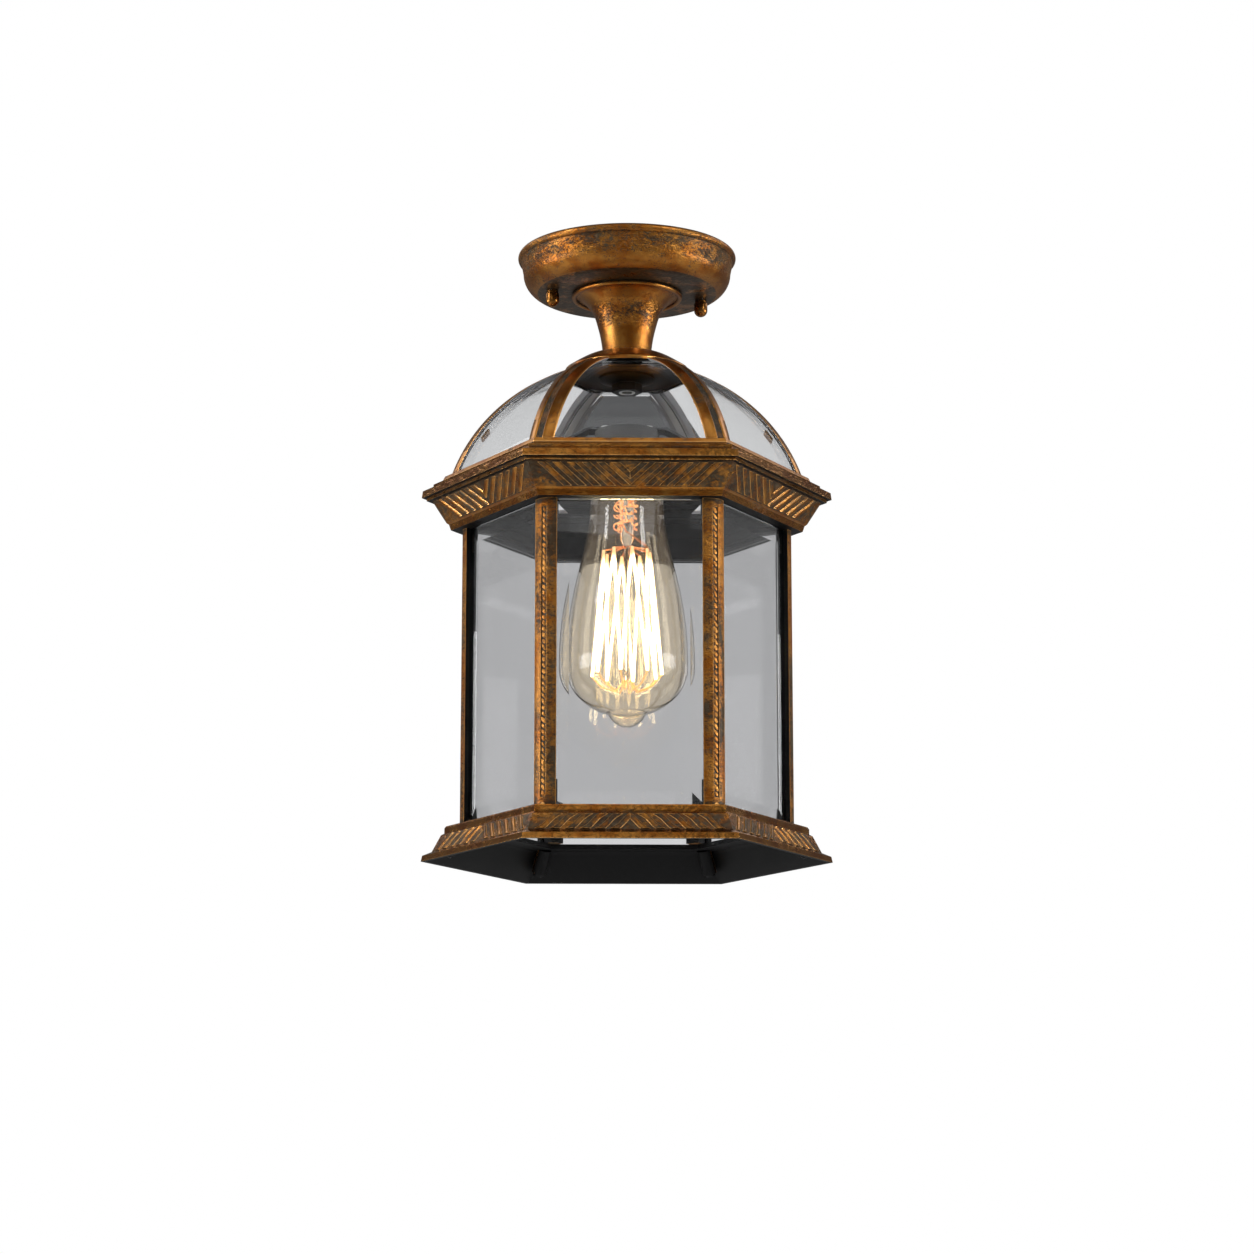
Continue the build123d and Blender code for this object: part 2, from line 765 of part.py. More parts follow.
keeper_r = inside_pane(post_keeper_width / 2)
post_face_r = post_r - post_chamfer * sin(radians(turn / 2))
web_inner_r = keeper_r - post_web_reach
foot_plate_r = keeper_r - foot_plate_reach
with BuildPart() as post:
    with BuildSketch(Plane.XY.offset(skirt_top_z)):
        with BuildLine():
            Polyline(
                (post_r, 0),
                on_flange(post_flange, 0),
                on_flange(post_flange, post_sheet),
                (post_inner_r, 0),
            )
            mirror(about=Plane.XZ)
        make_face()
    extrude(amount=post_height)
    chamfer(post.edges().filter_by(Axis.Z).sort_by(Axis.X)[-1], length=post_chamfer)
    with BuildSketch(Plane.XY.offset(skirt_top_z + post_groove_end)):
        with Locations((post_face_r, 0)):
            Rectangle(2 * post_groove_depth, post_groove_width)
    extrude(amount=post_height - 2 * post_groove_end, mode=Mode.SUBTRACT)
    with BuildSketch(Plane.XZ):
        with BuildLine():
            Polyline(
                (post_inner_r, skirt_top_z),
                (web_inner_r, skirt_top_z),
                (web_inner_r, post_top_z),
                (post_inner_r, post_top_z),
                close=True,
            )
        make_face()
    extrude(amount=post_web_width / 2, both=True)
    with BuildSketch(Plane.XY.offset(skirt_top_z)):
        with Locations((keeper_r - post_keeper_sheet / 2, 0)):
            Rectangle(post_keeper_sheet, post_keeper_width)
    extrude(amount=post_foot_height)
    with BuildSketch(Plane.XY.offset(post_top_z - post_head_height)):
        with Locations((keeper_r - post_keeper_sheet / 2, 0)):
            Rectangle(post_keeper_sheet, post_keeper_width)
    extrude(amount=post_head_height)
    with BuildSketch(Plane.XY.offset(skirt_top_z)):
        with BuildLine():
            Polyline(
                (inside_pane(post_web_width / 2), post_web_width / 2),
                (keeper_r, post_keeper_width / 2),
                (foot_plate_r, post_keeper_width / 2),
                (foot_plate_r, 0),
            )
            mirror(about=Plane.XZ)
            Line(
                (inside_pane(post_web_width / 2), post_web_width / 2),
                (inside_pane(post_web_width / 2), -post_web_width / 2),
            )
        make_face()
    extrude(amount=foot_plate_height)
    with BuildSketch(Plane.XY.offset(post_top_z - cornice_screw_depth)):
        with Locations((cornice_screw_r, 0)):
            Circle(screw_r + screw_clearance)
    extrude(amount=cornice_screw_depth, mode=Mode.SUBTRACT)
    with BuildSketch(boss_plane(0)):
        Circle(screw_r + screw_clearance)
    extrude(amount=skirt_screw_depth, both=True, mode=Mode.SUBTRACT)
for number in range(1, sides + 1):
    copy_at(post.part, front + turn * number, f"post_{number}")

# Side panes: flat glass behind the flanges, bevelled round the inner face
side_pane_width = 2 * (pane_outer * tan(radians(turn / 2)) - side_pane_edge)
side_pane_height = post_height - pane_clearance
with BuildPart() as side_pane:
    with BuildSketch(Plane.XZ.offset(-pane_outer)):
        with Locations((0, skirt_top_z + side_pane_height / 2)):
            Rectangle(side_pane_width, side_pane_height)
    extrude(amount=side_glass)
    inner_face = side_pane.faces().sort_by(Axis.Y)[0]
    chamfer(inner_face.edges(), length=side_bevel, length2=side_bevel_depth, reference=inner_face)
for number in range(1, sides + 1):
    copy_at(side_pane.part, front + turn * (number - 1), f"side_pane_{number}")

# Skirt: flared mitred ring, open below, with leaning screw bosses in its corners
skirt_ring = hex_ring(
    [
        (ledge_inner_r, skirt_top_z),
        (skirt_top_r, skirt_top_z),
        (skirt_bead_r, skirt_top_z - skirt_bead_slope),
        (skirt_bead_r, skirt_top_z - skirt_bead_drop),
        (skirt_step_r, skirt_top_z - skirt_step_drop),
        (skirt_flare_r, skirt_top_z - skirt_flare_drop),
        (lip_top_r, skirt_top_z - skirt_flare_drop - lip_slope),
        (lip_r, skirt_bottom_z),
        (lip_r - casting_wall, skirt_bottom_z),
        (skirt_flare_r - casting_wall, skirt_top_z - skirt_flare_drop),
        (skirt_step_r - casting_wall, skirt_top_z - skirt_step_drop),
        (skirt_top_r - casting_wall, skirt_top_z - ledge_height),
        (ledge_inner_r, skirt_top_z - ledge_height),
    ]
)
boss_end_drop = skirt_height - boss_end_rise
boss_length = (boss_end_drop - boss_top_drop) / cos(lean)
with BuildPart() as skirt_boss:
    with BuildSketch(boss_plane(boss_top_drop)):
        Circle(boss_r)
    extrude(amount=boss_length)
with BuildPart() as boss_drill:
    with BuildSketch(boss_plane(0)):
        Circle(screw_r + screw_clearance)
    extrude(amount=skirt_height, both=True)
with BuildPart() as skirt:
    add(skirt_ring)
    with PolarLocations(0, sides):
        add(skirt_boss.part)
    with PolarLocations(0, sides):
        add(boss_drill.part, mode=Mode.SUBTRACT)
keep(skirt, "skirt")

with BuildPart() as skirt_screw:
    with BuildSketch(boss_plane(boss_end_drop)):
        Circle(screw_head_r)
    extrude(amount=screw_head_height)
    with BuildSketch(boss_plane(boss_end_drop)):
        Circle(screw_r)
    extrude(amount=-(boss_end_drop / cos(lean) + skirt_screw_depth - screw_head_height))
with BuildPart() as skirt_screws:
    with PolarLocations(0, sides):
        add(skirt_screw.part)
keep(skirt_screws, "skirt_screws")

# Bridge: bent strap across the cornice that carries the lampholder
bridge_top_z = cornice_top_z + bridge_rise
bridge_bend_x = bridge_end_x - bridge_foot
bridge_top_x = bridge_top_length / 2
bridge_slope = atan(bridge_rise / (bridge_bend_x - bridge_top_x))
bend_shift = bridge_sheet * tan(bridge_slope / 2)
with BuildPart() as holder_bridge:
    with BuildSketch(Plane.XZ):
        with BuildLine():
            Polyline(
                (0, bridge_top_z),
                (bridge_top_x, bridge_top_z),
                (bridge_bend_x, cornice_top_z),
                (bridge_end_x, cornice_top_z),
                (bridge_end_x, cornice_top_z + bridge_sheet),
                (bridge_bend_x + bend_shift, cornice_top_z + bridge_sheet),
                (bridge_top_x + bend_shift, bridge_top_z + bridge_sheet),
                (0, bridge_top_z + bridge_sheet),
            )
            mirror(about=Plane.YZ)
        make_face()
    extrude(amount=bridge_width / 2, both=True)
    with BuildSketch(Plane.XY.offset(cornice_top_z)):
        with PolarLocations(bridge_screw_x, 2):
            Circle(bridge_screw_r + screw_clearance)
    extrude(amount=bridge_sheet, mode=Mode.SUBTRACT)
    with BuildSketch(Plane.XY.offset(bridge_top_z)):
        Circle(bridge_wire_hole_r)
        with PolarLocations(holder_screw_spacing / 2, 2):
            Circle(holder_screw_r + screw_clearance)
    extrude(amount=bridge_sheet, mode=Mode.SUBTRACT)
keep(holder_bridge, "holder_bridge")

with BuildPart() as bridge_screws:
    with BuildSketch(Plane.XY.offset(cornice_top_z - casting_wall)):
        with PolarLocations(bridge_screw_x, 2):
            Circle(bridge_screw_r)
    extrude(amount=casting_wall + bridge_sheet)
    with BuildSketch(Plane.XY.offset(cornice_top_z + bridge_sheet)):
        with PolarLocations(bridge_screw_x, 2):
            Circle(bridge_screw_head_r)
    extrude(amount=bridge_screw_head_height)
keep(bridge_screws, "bridge_screws")

# Lampholder: porcelain body, screw shell and centre contact
holder_floor_z = bridge_top_z - holder_floor
holder_low_z = holder_floor_z - holder_skirt
with BuildPart() as holder_body:
    with BuildSketch(Plane.XZ):
        with BuildLine():
            Polyline(
                (bridge_wire_hole_r, bridge_top_z),
                (holder_r, bridge_top_z),
                (holder_r, holder_low_z + holder_rim_height),
                (holder_rim_r, holder_low_z + holder_rim_height),
                (holder_rim_r, holder_low_z),
                (shell_r + thread_clearance, holder_low_z),
                (shell_r + thread_clearance, holder_floor_z),
                (bridge_wire_hole_r, holder_floor_z),
                close=True,
            )
        make_face()
    revolve(axis=Axis.Z)
    with BuildSketch(Plane.XY.offset(bridge_top_z - holder_screw_depth)):
        with PolarLocations(holder_screw_spacing / 2, 2):
            Circle(holder_screw_r + screw_clearance)
    extrude(amount=holder_screw_depth, mode=Mode.SUBTRACT)
keep(holder_body, "holder_body")

with BuildPart() as holder_screws:
    with BuildSketch(Plane.XY.offset(bridge_top_z - holder_screw_depth)):
        with PolarLocations(holder_screw_spacing / 2, 2):
            Circle(holder_screw_r)
    extrude(amount=holder_screw_depth + bridge_sheet)
    with BuildSketch(Plane.XY.offset(bridge_top_z + bridge_sheet)):
        with PolarLocations(holder_screw_spacing / 2, 2):
            Circle(holder_screw_head_r)
    extrude(amount=holder_screw_head_height)
keep(holder_screws, "holder_screws")

with BuildPart() as holder_shell:
    with BuildSketch(Plane.XY.offset(holder_low_z + shell_gap)):
        Circle(shell_r)
        Circle(shell_r - shell_sheet, mode=Mode.SUBTRACT)
    extrude(amount=holder_skirt - shell_gap)
keep(holder_shell, "holder_shell")

contact_low_z = holder_floor_z - contact_bow - contact_sheet
with BuildPart() as holder_contact:
    with BuildSketch(Plane.XZ):
        with BuildLine():
            Polyline(
                (contact_reach, holder_floor_z),
                (contact_reach - contact_foot / 2, holder_floor_z),
                (contact_foot / 2, contact_low_z + contact_sheet),
                (-contact_foot / 2, contact_low_z + contact_sheet),
                (-contact_foot / 2, contact_low_z),
                (contact_foot / 2, contact_low_z),
                (contact_reach - contact_foot / 2, holder_floor_z - contact_sheet),
                (contact_reach, holder_floor_z - contact_sheet),
                close=True,
            )
        make_face()
    extrude(amount=contact_width / 2, both=True)
keep(holder_contact, "holder_contact")

# Lamp cap: contact, insulator and screw cap, hanging just clear of the holder's contact
lamp_top_z = contact_low_z - lamp_play
insulator_top_z = lamp_top_z - lamp_contact_height
cap_top_z = insulator_top_z - insulator_height
cap_low_z = cap_top_z - cap_height
with BuildPart() as bulb_contact:
    with BuildSketch(Plane.XY.offset(insulator_top_z)):
        Circle(lamp_contact_r)
    extrude(amount=lamp_contact_height)
    fillet(bulb_contact.edges().group_by(Axis.Z)[-1], lamp_contact_height / 2)
keep(bulb_contact, "bulb_contact")

with BuildPart() as bulb_insulator:
    with BuildSketch(Plane.XY.offset(cap_top_z)):
        Circle(cap_r - cap_sheet)
    with BuildSketch(Plane.XY.offset(insulator_top_z)):
        Circle(insulator_top_r)
    loft()
keep(bulb_insulator, "bulb_insulator")

with BuildPart() as bulb_cap:
    with BuildSketch(Plane.XY.offset(cap_low_z)):
        Circle(cap_r)
        Circle(cap_r - cap_sheet, mode=Mode.SUBTRACT)
    extrude(amount=cap_height)
keep(bulb_cap, "bulb_cap")


def lamp_solid(inset):
    # the lamp's envelope drawn in by a wall, from the neck inside the cap to the rounded tip
    top = (glass_top_r - inset, cap_low_z + glass_top_rise)
    throat = (glass_top_r - inset, cap_low_z)
    neck_top = (lamp_neck_r - inset, cap_low_z - lamp_neck_top)
    neck_low = (lamp_neck_r - inset, cap_low_z - lamp_neck_bottom)
    taper = (lamp_taper_r - inset, cap_low_z - lamp_taper_drop)
    bowl_z = cap_low_z - lamp_bowl_drop
    bowl_r = lamp_bowl_r - inset
    tip_turn = degrees(acos((lamp_tip_r - inset) / bowl_r))
    with BuildPart() as solid:
        with BuildSketch(Plane.XZ):
            with BuildLine():
                Polyline((0, top[1]), top, throat, neck_top, neck_low)
                Spline(neck_low, taper, (bowl_r, bowl_z), tangents=((0, -1), (0, -1)))
                bowl = EllipticalCenterArc(
                    (0, bowl_z), bowl_r, lamp_bowl_depth - inset, arc_size=-tip_turn
                )
                tip_r = (bowl @ 1).X
                tip_end = (0, (bowl @ 1).Y - lamp_tip_height)
                ball_r = (tip_r**2 + lamp_tip_height**2) / (2 * lamp_tip_height)
                RadiusArc(bowl @ 1, tip_end, ball_r)
                Line(tip_end, (0, top[1]))
            make_face()
        revolve(axis=Axis.Z)
    return solid.part


with BuildPart() as bulb_glass:
    add(lamp_solid(0.0))
    add(lamp_solid(lamp_wall), mode=Mode.SUBTRACT)
keep(bulb_glass, "bulb_glass")

# Stem: glass flare in the lamp's neck, drawn out into a rod with a small bead at its end
stem_end_z = cap_low_z - stem_end_drop
with BuildPart() as bulb_stem:
    with BuildSketch(Plane.XZ):
        with BuildLine():
            Polyline(
                (0, cap_low_z + stem_flare_rise),
                (glass_top_r - lamp_wall - stem_gap, cap_low_z + stem_flare_rise),
                (stem_waist_r, cap_low_z - stem_waist_drop),
                (stem_waist_r, cap_low_z - stem_press_drop),
                (stem_rod_r, cap_low_z - cage_top_drop),
                (stem_rod_r, stem_end_z + stem_end_r),
                (stem_end_r, stem_end_z + stem_end_r),
            )
            RadiusArc((stem_end_r, stem_end_z + stem_end_r), (0, stem_end_z), stem_end_r)
            Line((0, stem_end_z), (0, cap_low_z + stem_flare_rise))
        make_face()
    revolve(axis=Axis.Z)
keep(bulb_stem, "bulb_stem")


def wire(start, end, r):
    # straight round wire between two points
    line = Vector(*end) - Vector(*start)
    with BuildPart() as piece:
        with BuildSketch(Plane(origin=start, z_dir=line)):
            Circle(r)
        extrude(amount=line.length)
    return piece.part


def around(r, angle, z):
    return (r * cos(radians(angle)), r * sin(radians(angle)), z)


# Hooks: wires from the stem out to the top and the bottom of the filament's cage
cage_top_z = cap_low_z - cage_top_drop
cage_bottom_z = cap_low_z - cage_bottom_drop
hook_turn = 360 / hook_count
hook_start_r = stem_rod_r + filament_gap
with BuildPart() as bulb_hooks:
    for number in range(hook_count):
        angle = hook_turn * number
        low_angle = angle + hook_turn / 2
        add(wire(around(hook_start_r, angle, cage_top_z), around(cage_top_r, angle, cage_top_z), hook_r))
        add(
            wire(
                around(hook_start_r, low_angle, cage_bottom_z),
                around(cage_bottom_r, low_angle, cage_bottom_z),
                hook_r,
            )
        )
keep(bulb_hooks, "bulb_hooks")

# Filament: hairpin legs that zigzag between the top and the bottom hooks
leg_top_z = cage_top_z - hook_r - filament_r - filament_gap
leg_low_z = cage_bottom_z + hook_r + filament_r + filament_gap
leg_spread = filament_r + filament_gap
with BuildPart() as bulb_filament:
    for number in range(hook_count):
        top_angle = hook_turn * number
        for side in (1, -1):
            low_angle = top_angle + side * hook_turn / 2
            top_shift = degrees(leg_spread / cage_top_r) * side
            low_shift = degrees(leg_spread / cage_bottom_r) * side
            add(
                wire(
                    around(cage_top_r, top_angle + top_shift, leg_top_z),
                    around(cage_bottom_r, low_angle - low_shift, leg_low_z),
                    filament_r,
                )
            )
keep(bulb_filament, "bulb_filament")
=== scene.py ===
import math
import random

import bmesh
import bpy
from mathutils import Matrix, Vector
from mathutils.geometry import interpolate_bezier


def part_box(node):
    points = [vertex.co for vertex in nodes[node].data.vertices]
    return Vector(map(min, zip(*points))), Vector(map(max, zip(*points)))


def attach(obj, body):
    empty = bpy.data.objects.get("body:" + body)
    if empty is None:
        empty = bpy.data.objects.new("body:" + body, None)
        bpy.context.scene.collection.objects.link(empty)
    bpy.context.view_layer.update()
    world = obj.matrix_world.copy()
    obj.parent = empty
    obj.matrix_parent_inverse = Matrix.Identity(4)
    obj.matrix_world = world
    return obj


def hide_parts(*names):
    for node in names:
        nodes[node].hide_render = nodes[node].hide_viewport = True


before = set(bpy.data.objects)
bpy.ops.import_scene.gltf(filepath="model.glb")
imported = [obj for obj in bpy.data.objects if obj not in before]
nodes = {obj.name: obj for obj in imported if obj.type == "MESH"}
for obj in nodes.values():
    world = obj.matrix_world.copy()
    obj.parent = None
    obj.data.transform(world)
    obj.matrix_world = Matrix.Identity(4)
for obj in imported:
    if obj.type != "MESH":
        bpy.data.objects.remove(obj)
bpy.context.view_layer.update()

mm = 0.001                                   # meshes are drawn in millimetres
weld = 0.002                                 # vertices this close are one
snap = 0.0005                                # a cut takes vertices this close as lying on it
sideCount = 6
turn = 2 * math.pi / sideCount
flatShare = math.cos(turn / 2)               # apothem of a hexagon against its corner radius
random.seed(11)


def lowZ(node):
    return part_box(node)[0].z / mm


def highZ(node):
    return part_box(node)[1].z / mm


# Shader building: a wired value, and a finish that adds nodes

class Wire:
    def __init__(self, finish, socket):
        self.finish = finish
        self.socket = socket

    def calc(self, operation, first, second):
        return self.finish.node("ShaderNodeMath", {"operation": operation}, {0: first, 1: second})

    def __add__(self, other):
        return self.calc("ADD", self, other)

    def __radd__(self, other):
        return self.calc("ADD", other, self)

    def __sub__(self, other):
        return self.calc("SUBTRACT", self, other)

    def __rsub__(self, other):
        return self.calc("SUBTRACT", other, self)

    def __mul__(self, other):
        return self.calc("MULTIPLY", self, other)

    def __rmul__(self, other):
        return self.calc("MULTIPLY", other, self)


class Finish:
    def __init__(self, owner):
        self.owner = owner
        owner.use_nodes = True
        self.tree = owner.node_tree
        self.tree.nodes.clear()

    def node(self, kind, settings={}, inputs={}, output=0):
        made = self.tree.nodes.new(kind)
        for key, value in settings.items():
            setattr(made, key, value)
        for key, value in inputs.items():
            if isinstance(value, Wire):
                self.tree.links.new(value.socket, made.inputs[key])
            else:
                made.inputs[key].default_value = value
        return Wire(self, made.outputs[output]) if made.outputs else None

    def place(self):
        return self.node("ShaderNodeTexCoord", output="Object")

    def height(self):
        return self.node("ShaderNodeSeparateXYZ", {}, {"Vector": self.place()}, output="Z")

    def noise(self, scale, detail, roughness=0.6, stretch=(1, 1, 1), distortion=0.0, turned=(0, 0, 0)):
        spread = self.node("ShaderNodeMapping", {},
                           {"Vector": self.place(), "Scale": stretch, "Rotation": turned})
        return self.node("ShaderNodeTexNoise", {}, {
            "Vector": spread, "Scale": scale, "Detail": detail,
            "Roughness": roughness, "Distortion": distortion})

    def size(self, value):
        return self.node("ShaderNodeMath", {"operation": "ABSOLUTE"}, {0: value})

    def step(self, value, low, high):
        return self.node("ShaderNodeMapRange", {"interpolation_type": "SMOOTHSTEP"},
                         {"Value": value, "From Min": low, "From Max": high})

    def mix(self, factor, first, second):
        return self.node("ShaderNodeMix", {"data_type": "RGBA"}, {0: factor, 6: first, 7: second}, output=2)

    def occlusion(self, distance, inside):
        return self.node("ShaderNodeAmbientOcclusion", {"inside": inside, "samples": 12},
                         {"Distance": distance * mm}, output="AO")

    def bump(self, height, depth, strength=1.0):
        return self.node("ShaderNodeBump", {},
                         {"Height": height, "Distance": depth * mm, "Strength": strength})

    def surface(self, **inputs):
        names = {key.replace("_", " "): value for key, value in inputs.items()}
        shader = self.node("ShaderNodeBsdfPrincipled", {}, names)
        self.node("ShaderNodeOutputMaterial", {}, {"Surface": shader})
        return self.owner


def newFinish(name):
    return Finish(bpy.data.materials.new(name))


def rgb(red, green, blue):
    return (red, green, blue, 1.0)


def grey(shade):
    return rgb(shade, shade, shade)


# Finishes

goldLook = {
    "body": rgb(0.36, 0.150, 0.026), "ruddy": rgb(0.27, 0.086, 0.009), "worn": rgb(0.74, 0.40, 0.13),
    "patina": rgb(0.020, 0.016, 0.009), "verdigris": rgb(0.048, 0.044, 0.028),
    "edgeReach": 1.3, "cavityReach": 4.0, "slant": 0.5, "lacquer": 0.11, "sheen": 0.28,
}


def makeGold(name, patina, stretch=(1, 1, 1), hammer=0.6, wear=0.8, crease=0.0, band=None, gloss=0.18,
             edgeReach=goldLook["edgeReach"]):
    # band: two heights in mm and how much the patina gains between them, partly patina and partly painted
    # shade; the relief fades outside them
    gold = newFinish(name)
    cloud = gold.noise(46, 5, 0.62, stretch, 0.7)
    speck = gold.noise(300, 4, 0.7, stretch, 0.4)
    wrinkle = gold.noise(180, 2, 0.5, (1, 1, 1.7), 1.4, (goldLook["slant"], goldLook["slant"], 0))
    tone = gold.noise(85, 3, 0.5)
    hollow = 1 - gold.occlusion(goldLook["cavityReach"], False)
    edge = gold.step(1 - gold.occlusion(edgeReach, True), 0.20, 0.52)
    crumple = gold.noise(210, 2, 0.5, (1, 1, 1.8), 2.2, (goldLook["slant"], -goldLook["slant"], 0))
    fold = 1 - gold.step(gold.size(crumple - 0.5), 0.0, 0.05)
    soil = 0.60 * cloud + 0.18 * speck + 0.22 * wrinkle + 0.34 * hollow - 0.12 * edge + crease * 0.16 * fold
    rough = 1.0
    if band:
        z = gold.height()
        low, high, gain = band
        reach = 4 * mm
        aboveLow = gold.step(z, low * mm - reach, low * mm + reach)
        underHigh = gold.step(z, high * mm + reach, high * mm - reach)
        inBand = aboveLow * underHigh
        # darker between the band's heights: patina and painted shade
        soil = soil + gain * inBand
        rough = 0.12 + 0.88 * inBand
    stain = gold.step(soil, 0.60 - 0.16 * patina, 0.72 - 0.14 * patina)
    rub = gold.step(edge * (0.45 + 0.9 * speck), 0.30, 0.80)
    base = gold.mix(gold.step(tone, 0.40, 0.64), goldLook["body"], goldLook["ruddy"])
    dark = gold.mix(gold.step(speck, 0.44, 0.62), goldLook["patina"], goldLook["verdigris"])
    aged = gold.mix(stain * 0.90, base, dark)
    colour = gold.mix(rub * wear, aged, goldLook["worn"])
    relief = rough * (wrinkle - 0.22 * crease * fold) + 0.02 * speck
    return gold.surface(
        Base_Color=colour, Metallic=1.0 - 0.35 * stain, Roughness=gloss + 0.22 * stain + 0.08 * wrinkle,
        Specular_IOR_Level=0.35, Coat_Weight=goldLook["lacquer"], Coat_Roughness=goldLook["sheen"],
        Normal=gold.bump(relief, hammer))


def makeBed(name):
    bed = newFinish(name)                     # stippled dark ground behind the relief
    cell = bed.node("ShaderNodeTexVoronoi", {}, {"Vector": bed.place(), "Scale": 900.0})
    tone = bed.noise(90, 4)
    colour = bed.mix(bed.step(tone, 0.42, 0.60), rgb(0.030, 0.022, 0.011), rgb(0.120, 0.052, 0.014))
    return bed.surface(Base_Color=colour, Metallic=0.5, Roughness=0.42 + 0.2 * tone,
                       Normal=bed.bump(cell, 0.4))


def makeBlack(name, shade=0.004, rough=0.40):
    black = newFinish(name)
    cloud = black.noise(30, 4)
    grit = black.noise(700, 3)
    colour = black.mix(cloud, rgb(shade, shade, 1.05 * shade), rgb(1.9 * shade, 1.9 * shade, 1.95 * shade))
    return black.surface(Base_Color=colour, Roughness=rough + 0.20 * cloud, Specular_IOR_Level=0.12,
                         Normal=black.bump(grit, 0.12))


def makeGlass(name, tint, deep, bend=1.45, wave=0.02, glow=0.0, rim=0.0):
    # glow is a painted warm light in the glass, standing in for the filament's light, that fades towards the
    # outline; rim is painted shade that darkens the outline itself
    glass = newFinish(name)
    colour = glass.mix(glass.noise(14, 2), tint, deep)
    side = glass.node("ShaderNodeLayerWeight", {}, {"Blend": 0.5}, output="Facing")
    colour = glass.mix(rim * glass.step(side, 0.72, 0.97), colour, rgb(0.16, 0.12, 0.08))
    paintedGlassGlow = glass.mix(glass.step(side, 0.45, 0.85), rgb(1.0, 0.73, 0.46), rgb(0, 0, 0))
    return glass.surface(Base_Color=colour, Roughness=0.0, Transmission_Weight=1.0, IOR=bend,
                         Emission_Color=paintedGlassGlow, Emission_Strength=glow,
                         Normal=glass.bump(glass.noise(9, 1), wave, 0.4))


def makeMetal(name, light, dull, rough):
    metal = newFinish(name)
    cloud = metal.noise(55, 4)
    grain = metal.noise(420, 3)
    colour = metal.mix(cloud, light, dull)
    return metal.surface(Base_Color=colour, Metallic=1.0, Roughness=rough + 0.2 * grain,
                         Normal=metal.bump(grain, 0.05))


def makePorcelain(name):
    clay = newFinish(name)                    # unglazed and dark
    cloud = clay.noise(40, 3)
    colour = clay.mix(cloud, rgb(0.135, 0.133, 0.132), rgb(0.105, 0.104, 0.103))
    return clay.surface(Base_Color=colour, Roughness=0.55 + 0.2 * cloud, Specular_IOR_Level=0.15,
                        Normal=clay.bump(clay.noise(600, 3), 0.1))


def makeGlow(name, hot, warm, strength, cool):
    # white in the middle of a wire, amber towards its sides; cool gives the heights where it turns ruddy
    glow = newFinish(name)
    side = glow.node("ShaderNodeLayerWeight", {}, {"Blend": 0.5}, output="Facing")
    mottle = glow.noise(500, 2, 0.5, (1, 1, 0.2))
    colour = glow.mix(glow.step(side + 0.25 * mottle, 0.35, 0.95), hot, warm)
    ruddy = glow.step(glow.height() + 6 * mm * mottle, cool[0] * mm, cool[1] * mm)
    colour = glow.mix(0.95 * ruddy, colour, rgb(0.040, 0.011, 0.002))
    return glow.surface(Base_Color=rgb(0.3, 0.2, 0.1), Emission_Color=colour, Emission_Strength=strength)


def makeWirePaintedGlow(name, strength, dim, foot):
    # painted glow: the hooks and lead wires are no lamps, and their emission stands in for the filament's
    # light on them; dim and foot are heights in mm: the wire is dull below the first and amber below the
    # second
    wire = newFinish(name)
    glowSpots = wire.step(wire.noise(420, 3), 0.40, 0.62)
    glow = wire.mix(glowSpots, rgb(0.50, 0.13, 0.03), rgb(1.0, 0.52, 0.18))
    z = wire.height()
    fade = 6 * mm
    glow = wire.mix(wire.step(z, dim * mm, dim * mm - fade), glow, rgb(0.10, 0.030, 0.008))
    glow = wire.mix(wire.step(z, foot * mm, foot * mm - fade), glow, rgb(0.80, 0.40, 0.12))
    return wire.surface(Base_Color=rgb(0.62, 0.25, 0.10), Metallic=1.0, Roughness=0.25 + 0.1 * glowSpots,
                        Emission_Color=glow, Emission_Strength=strength)


goldCast = makeGold("goldCast", patina=0.30, stretch=(0.6, 0.6, 1.5), hammer=0.3)
goldDeep = makeGold("goldDeep", patina=1.25, stretch=(0.8, 0.8, 1.2), hammer=0.7, wear=0.3)
goldReed = makeGold("goldReed", patina=1.08, hammer=0.4, gloss=0.26, edgeReach=0.50)
goldTwist = makeGold("goldTwist", patina=0.80, wear=0.12, gloss=0.34)
# its band darkens the canopy wall's upper part: patina and painted shade
goldSpun = makeGold("goldSpun", patina=0.02, stretch=(1, 1, 1.9), hammer=0.8, wear=0.2, crease=1.0,
                    band=(-16.0, -3.0, 0.120), gloss=0.33)
# painted shade: a darker, duller copy of the gold for the canopy's underside
goldUnderPaintedShade = makeGold("goldUnderPaintedShade", patina=1.5, hammer=0.4, wear=0.1)
goldNeck = makeGold("goldNeck", patina=0.02, stretch=(1, 1, 1.3), hammer=0.9, wear=0.3, crease=1.0,
                    band=(-46.0, -35.0, 0.120), gloss=0.28)
goldRib = makeGold("goldRib", patina=0.55, hammer=0.15, wear=0.5, gloss=0.26)
goldPost = makeGold("goldPost", patina=0.98, stretch=(1, 1, 0.4), wear=0.6, crease=0.6, gloss=0.43)
bedDark = makeBed("bedDark")
blackPaint = makeBlack("blackPaint")
clearGlass = makeGlass("clearGlass", rgb(0.665, 0.668, 0.675), rgb(0.645, 0.648, 0.655))
domeGlass = makeGlass("domeGlass", rgb(0.80, 0.805, 0.81), rgb(0.78, 0.785, 0.79), bend=1.16)
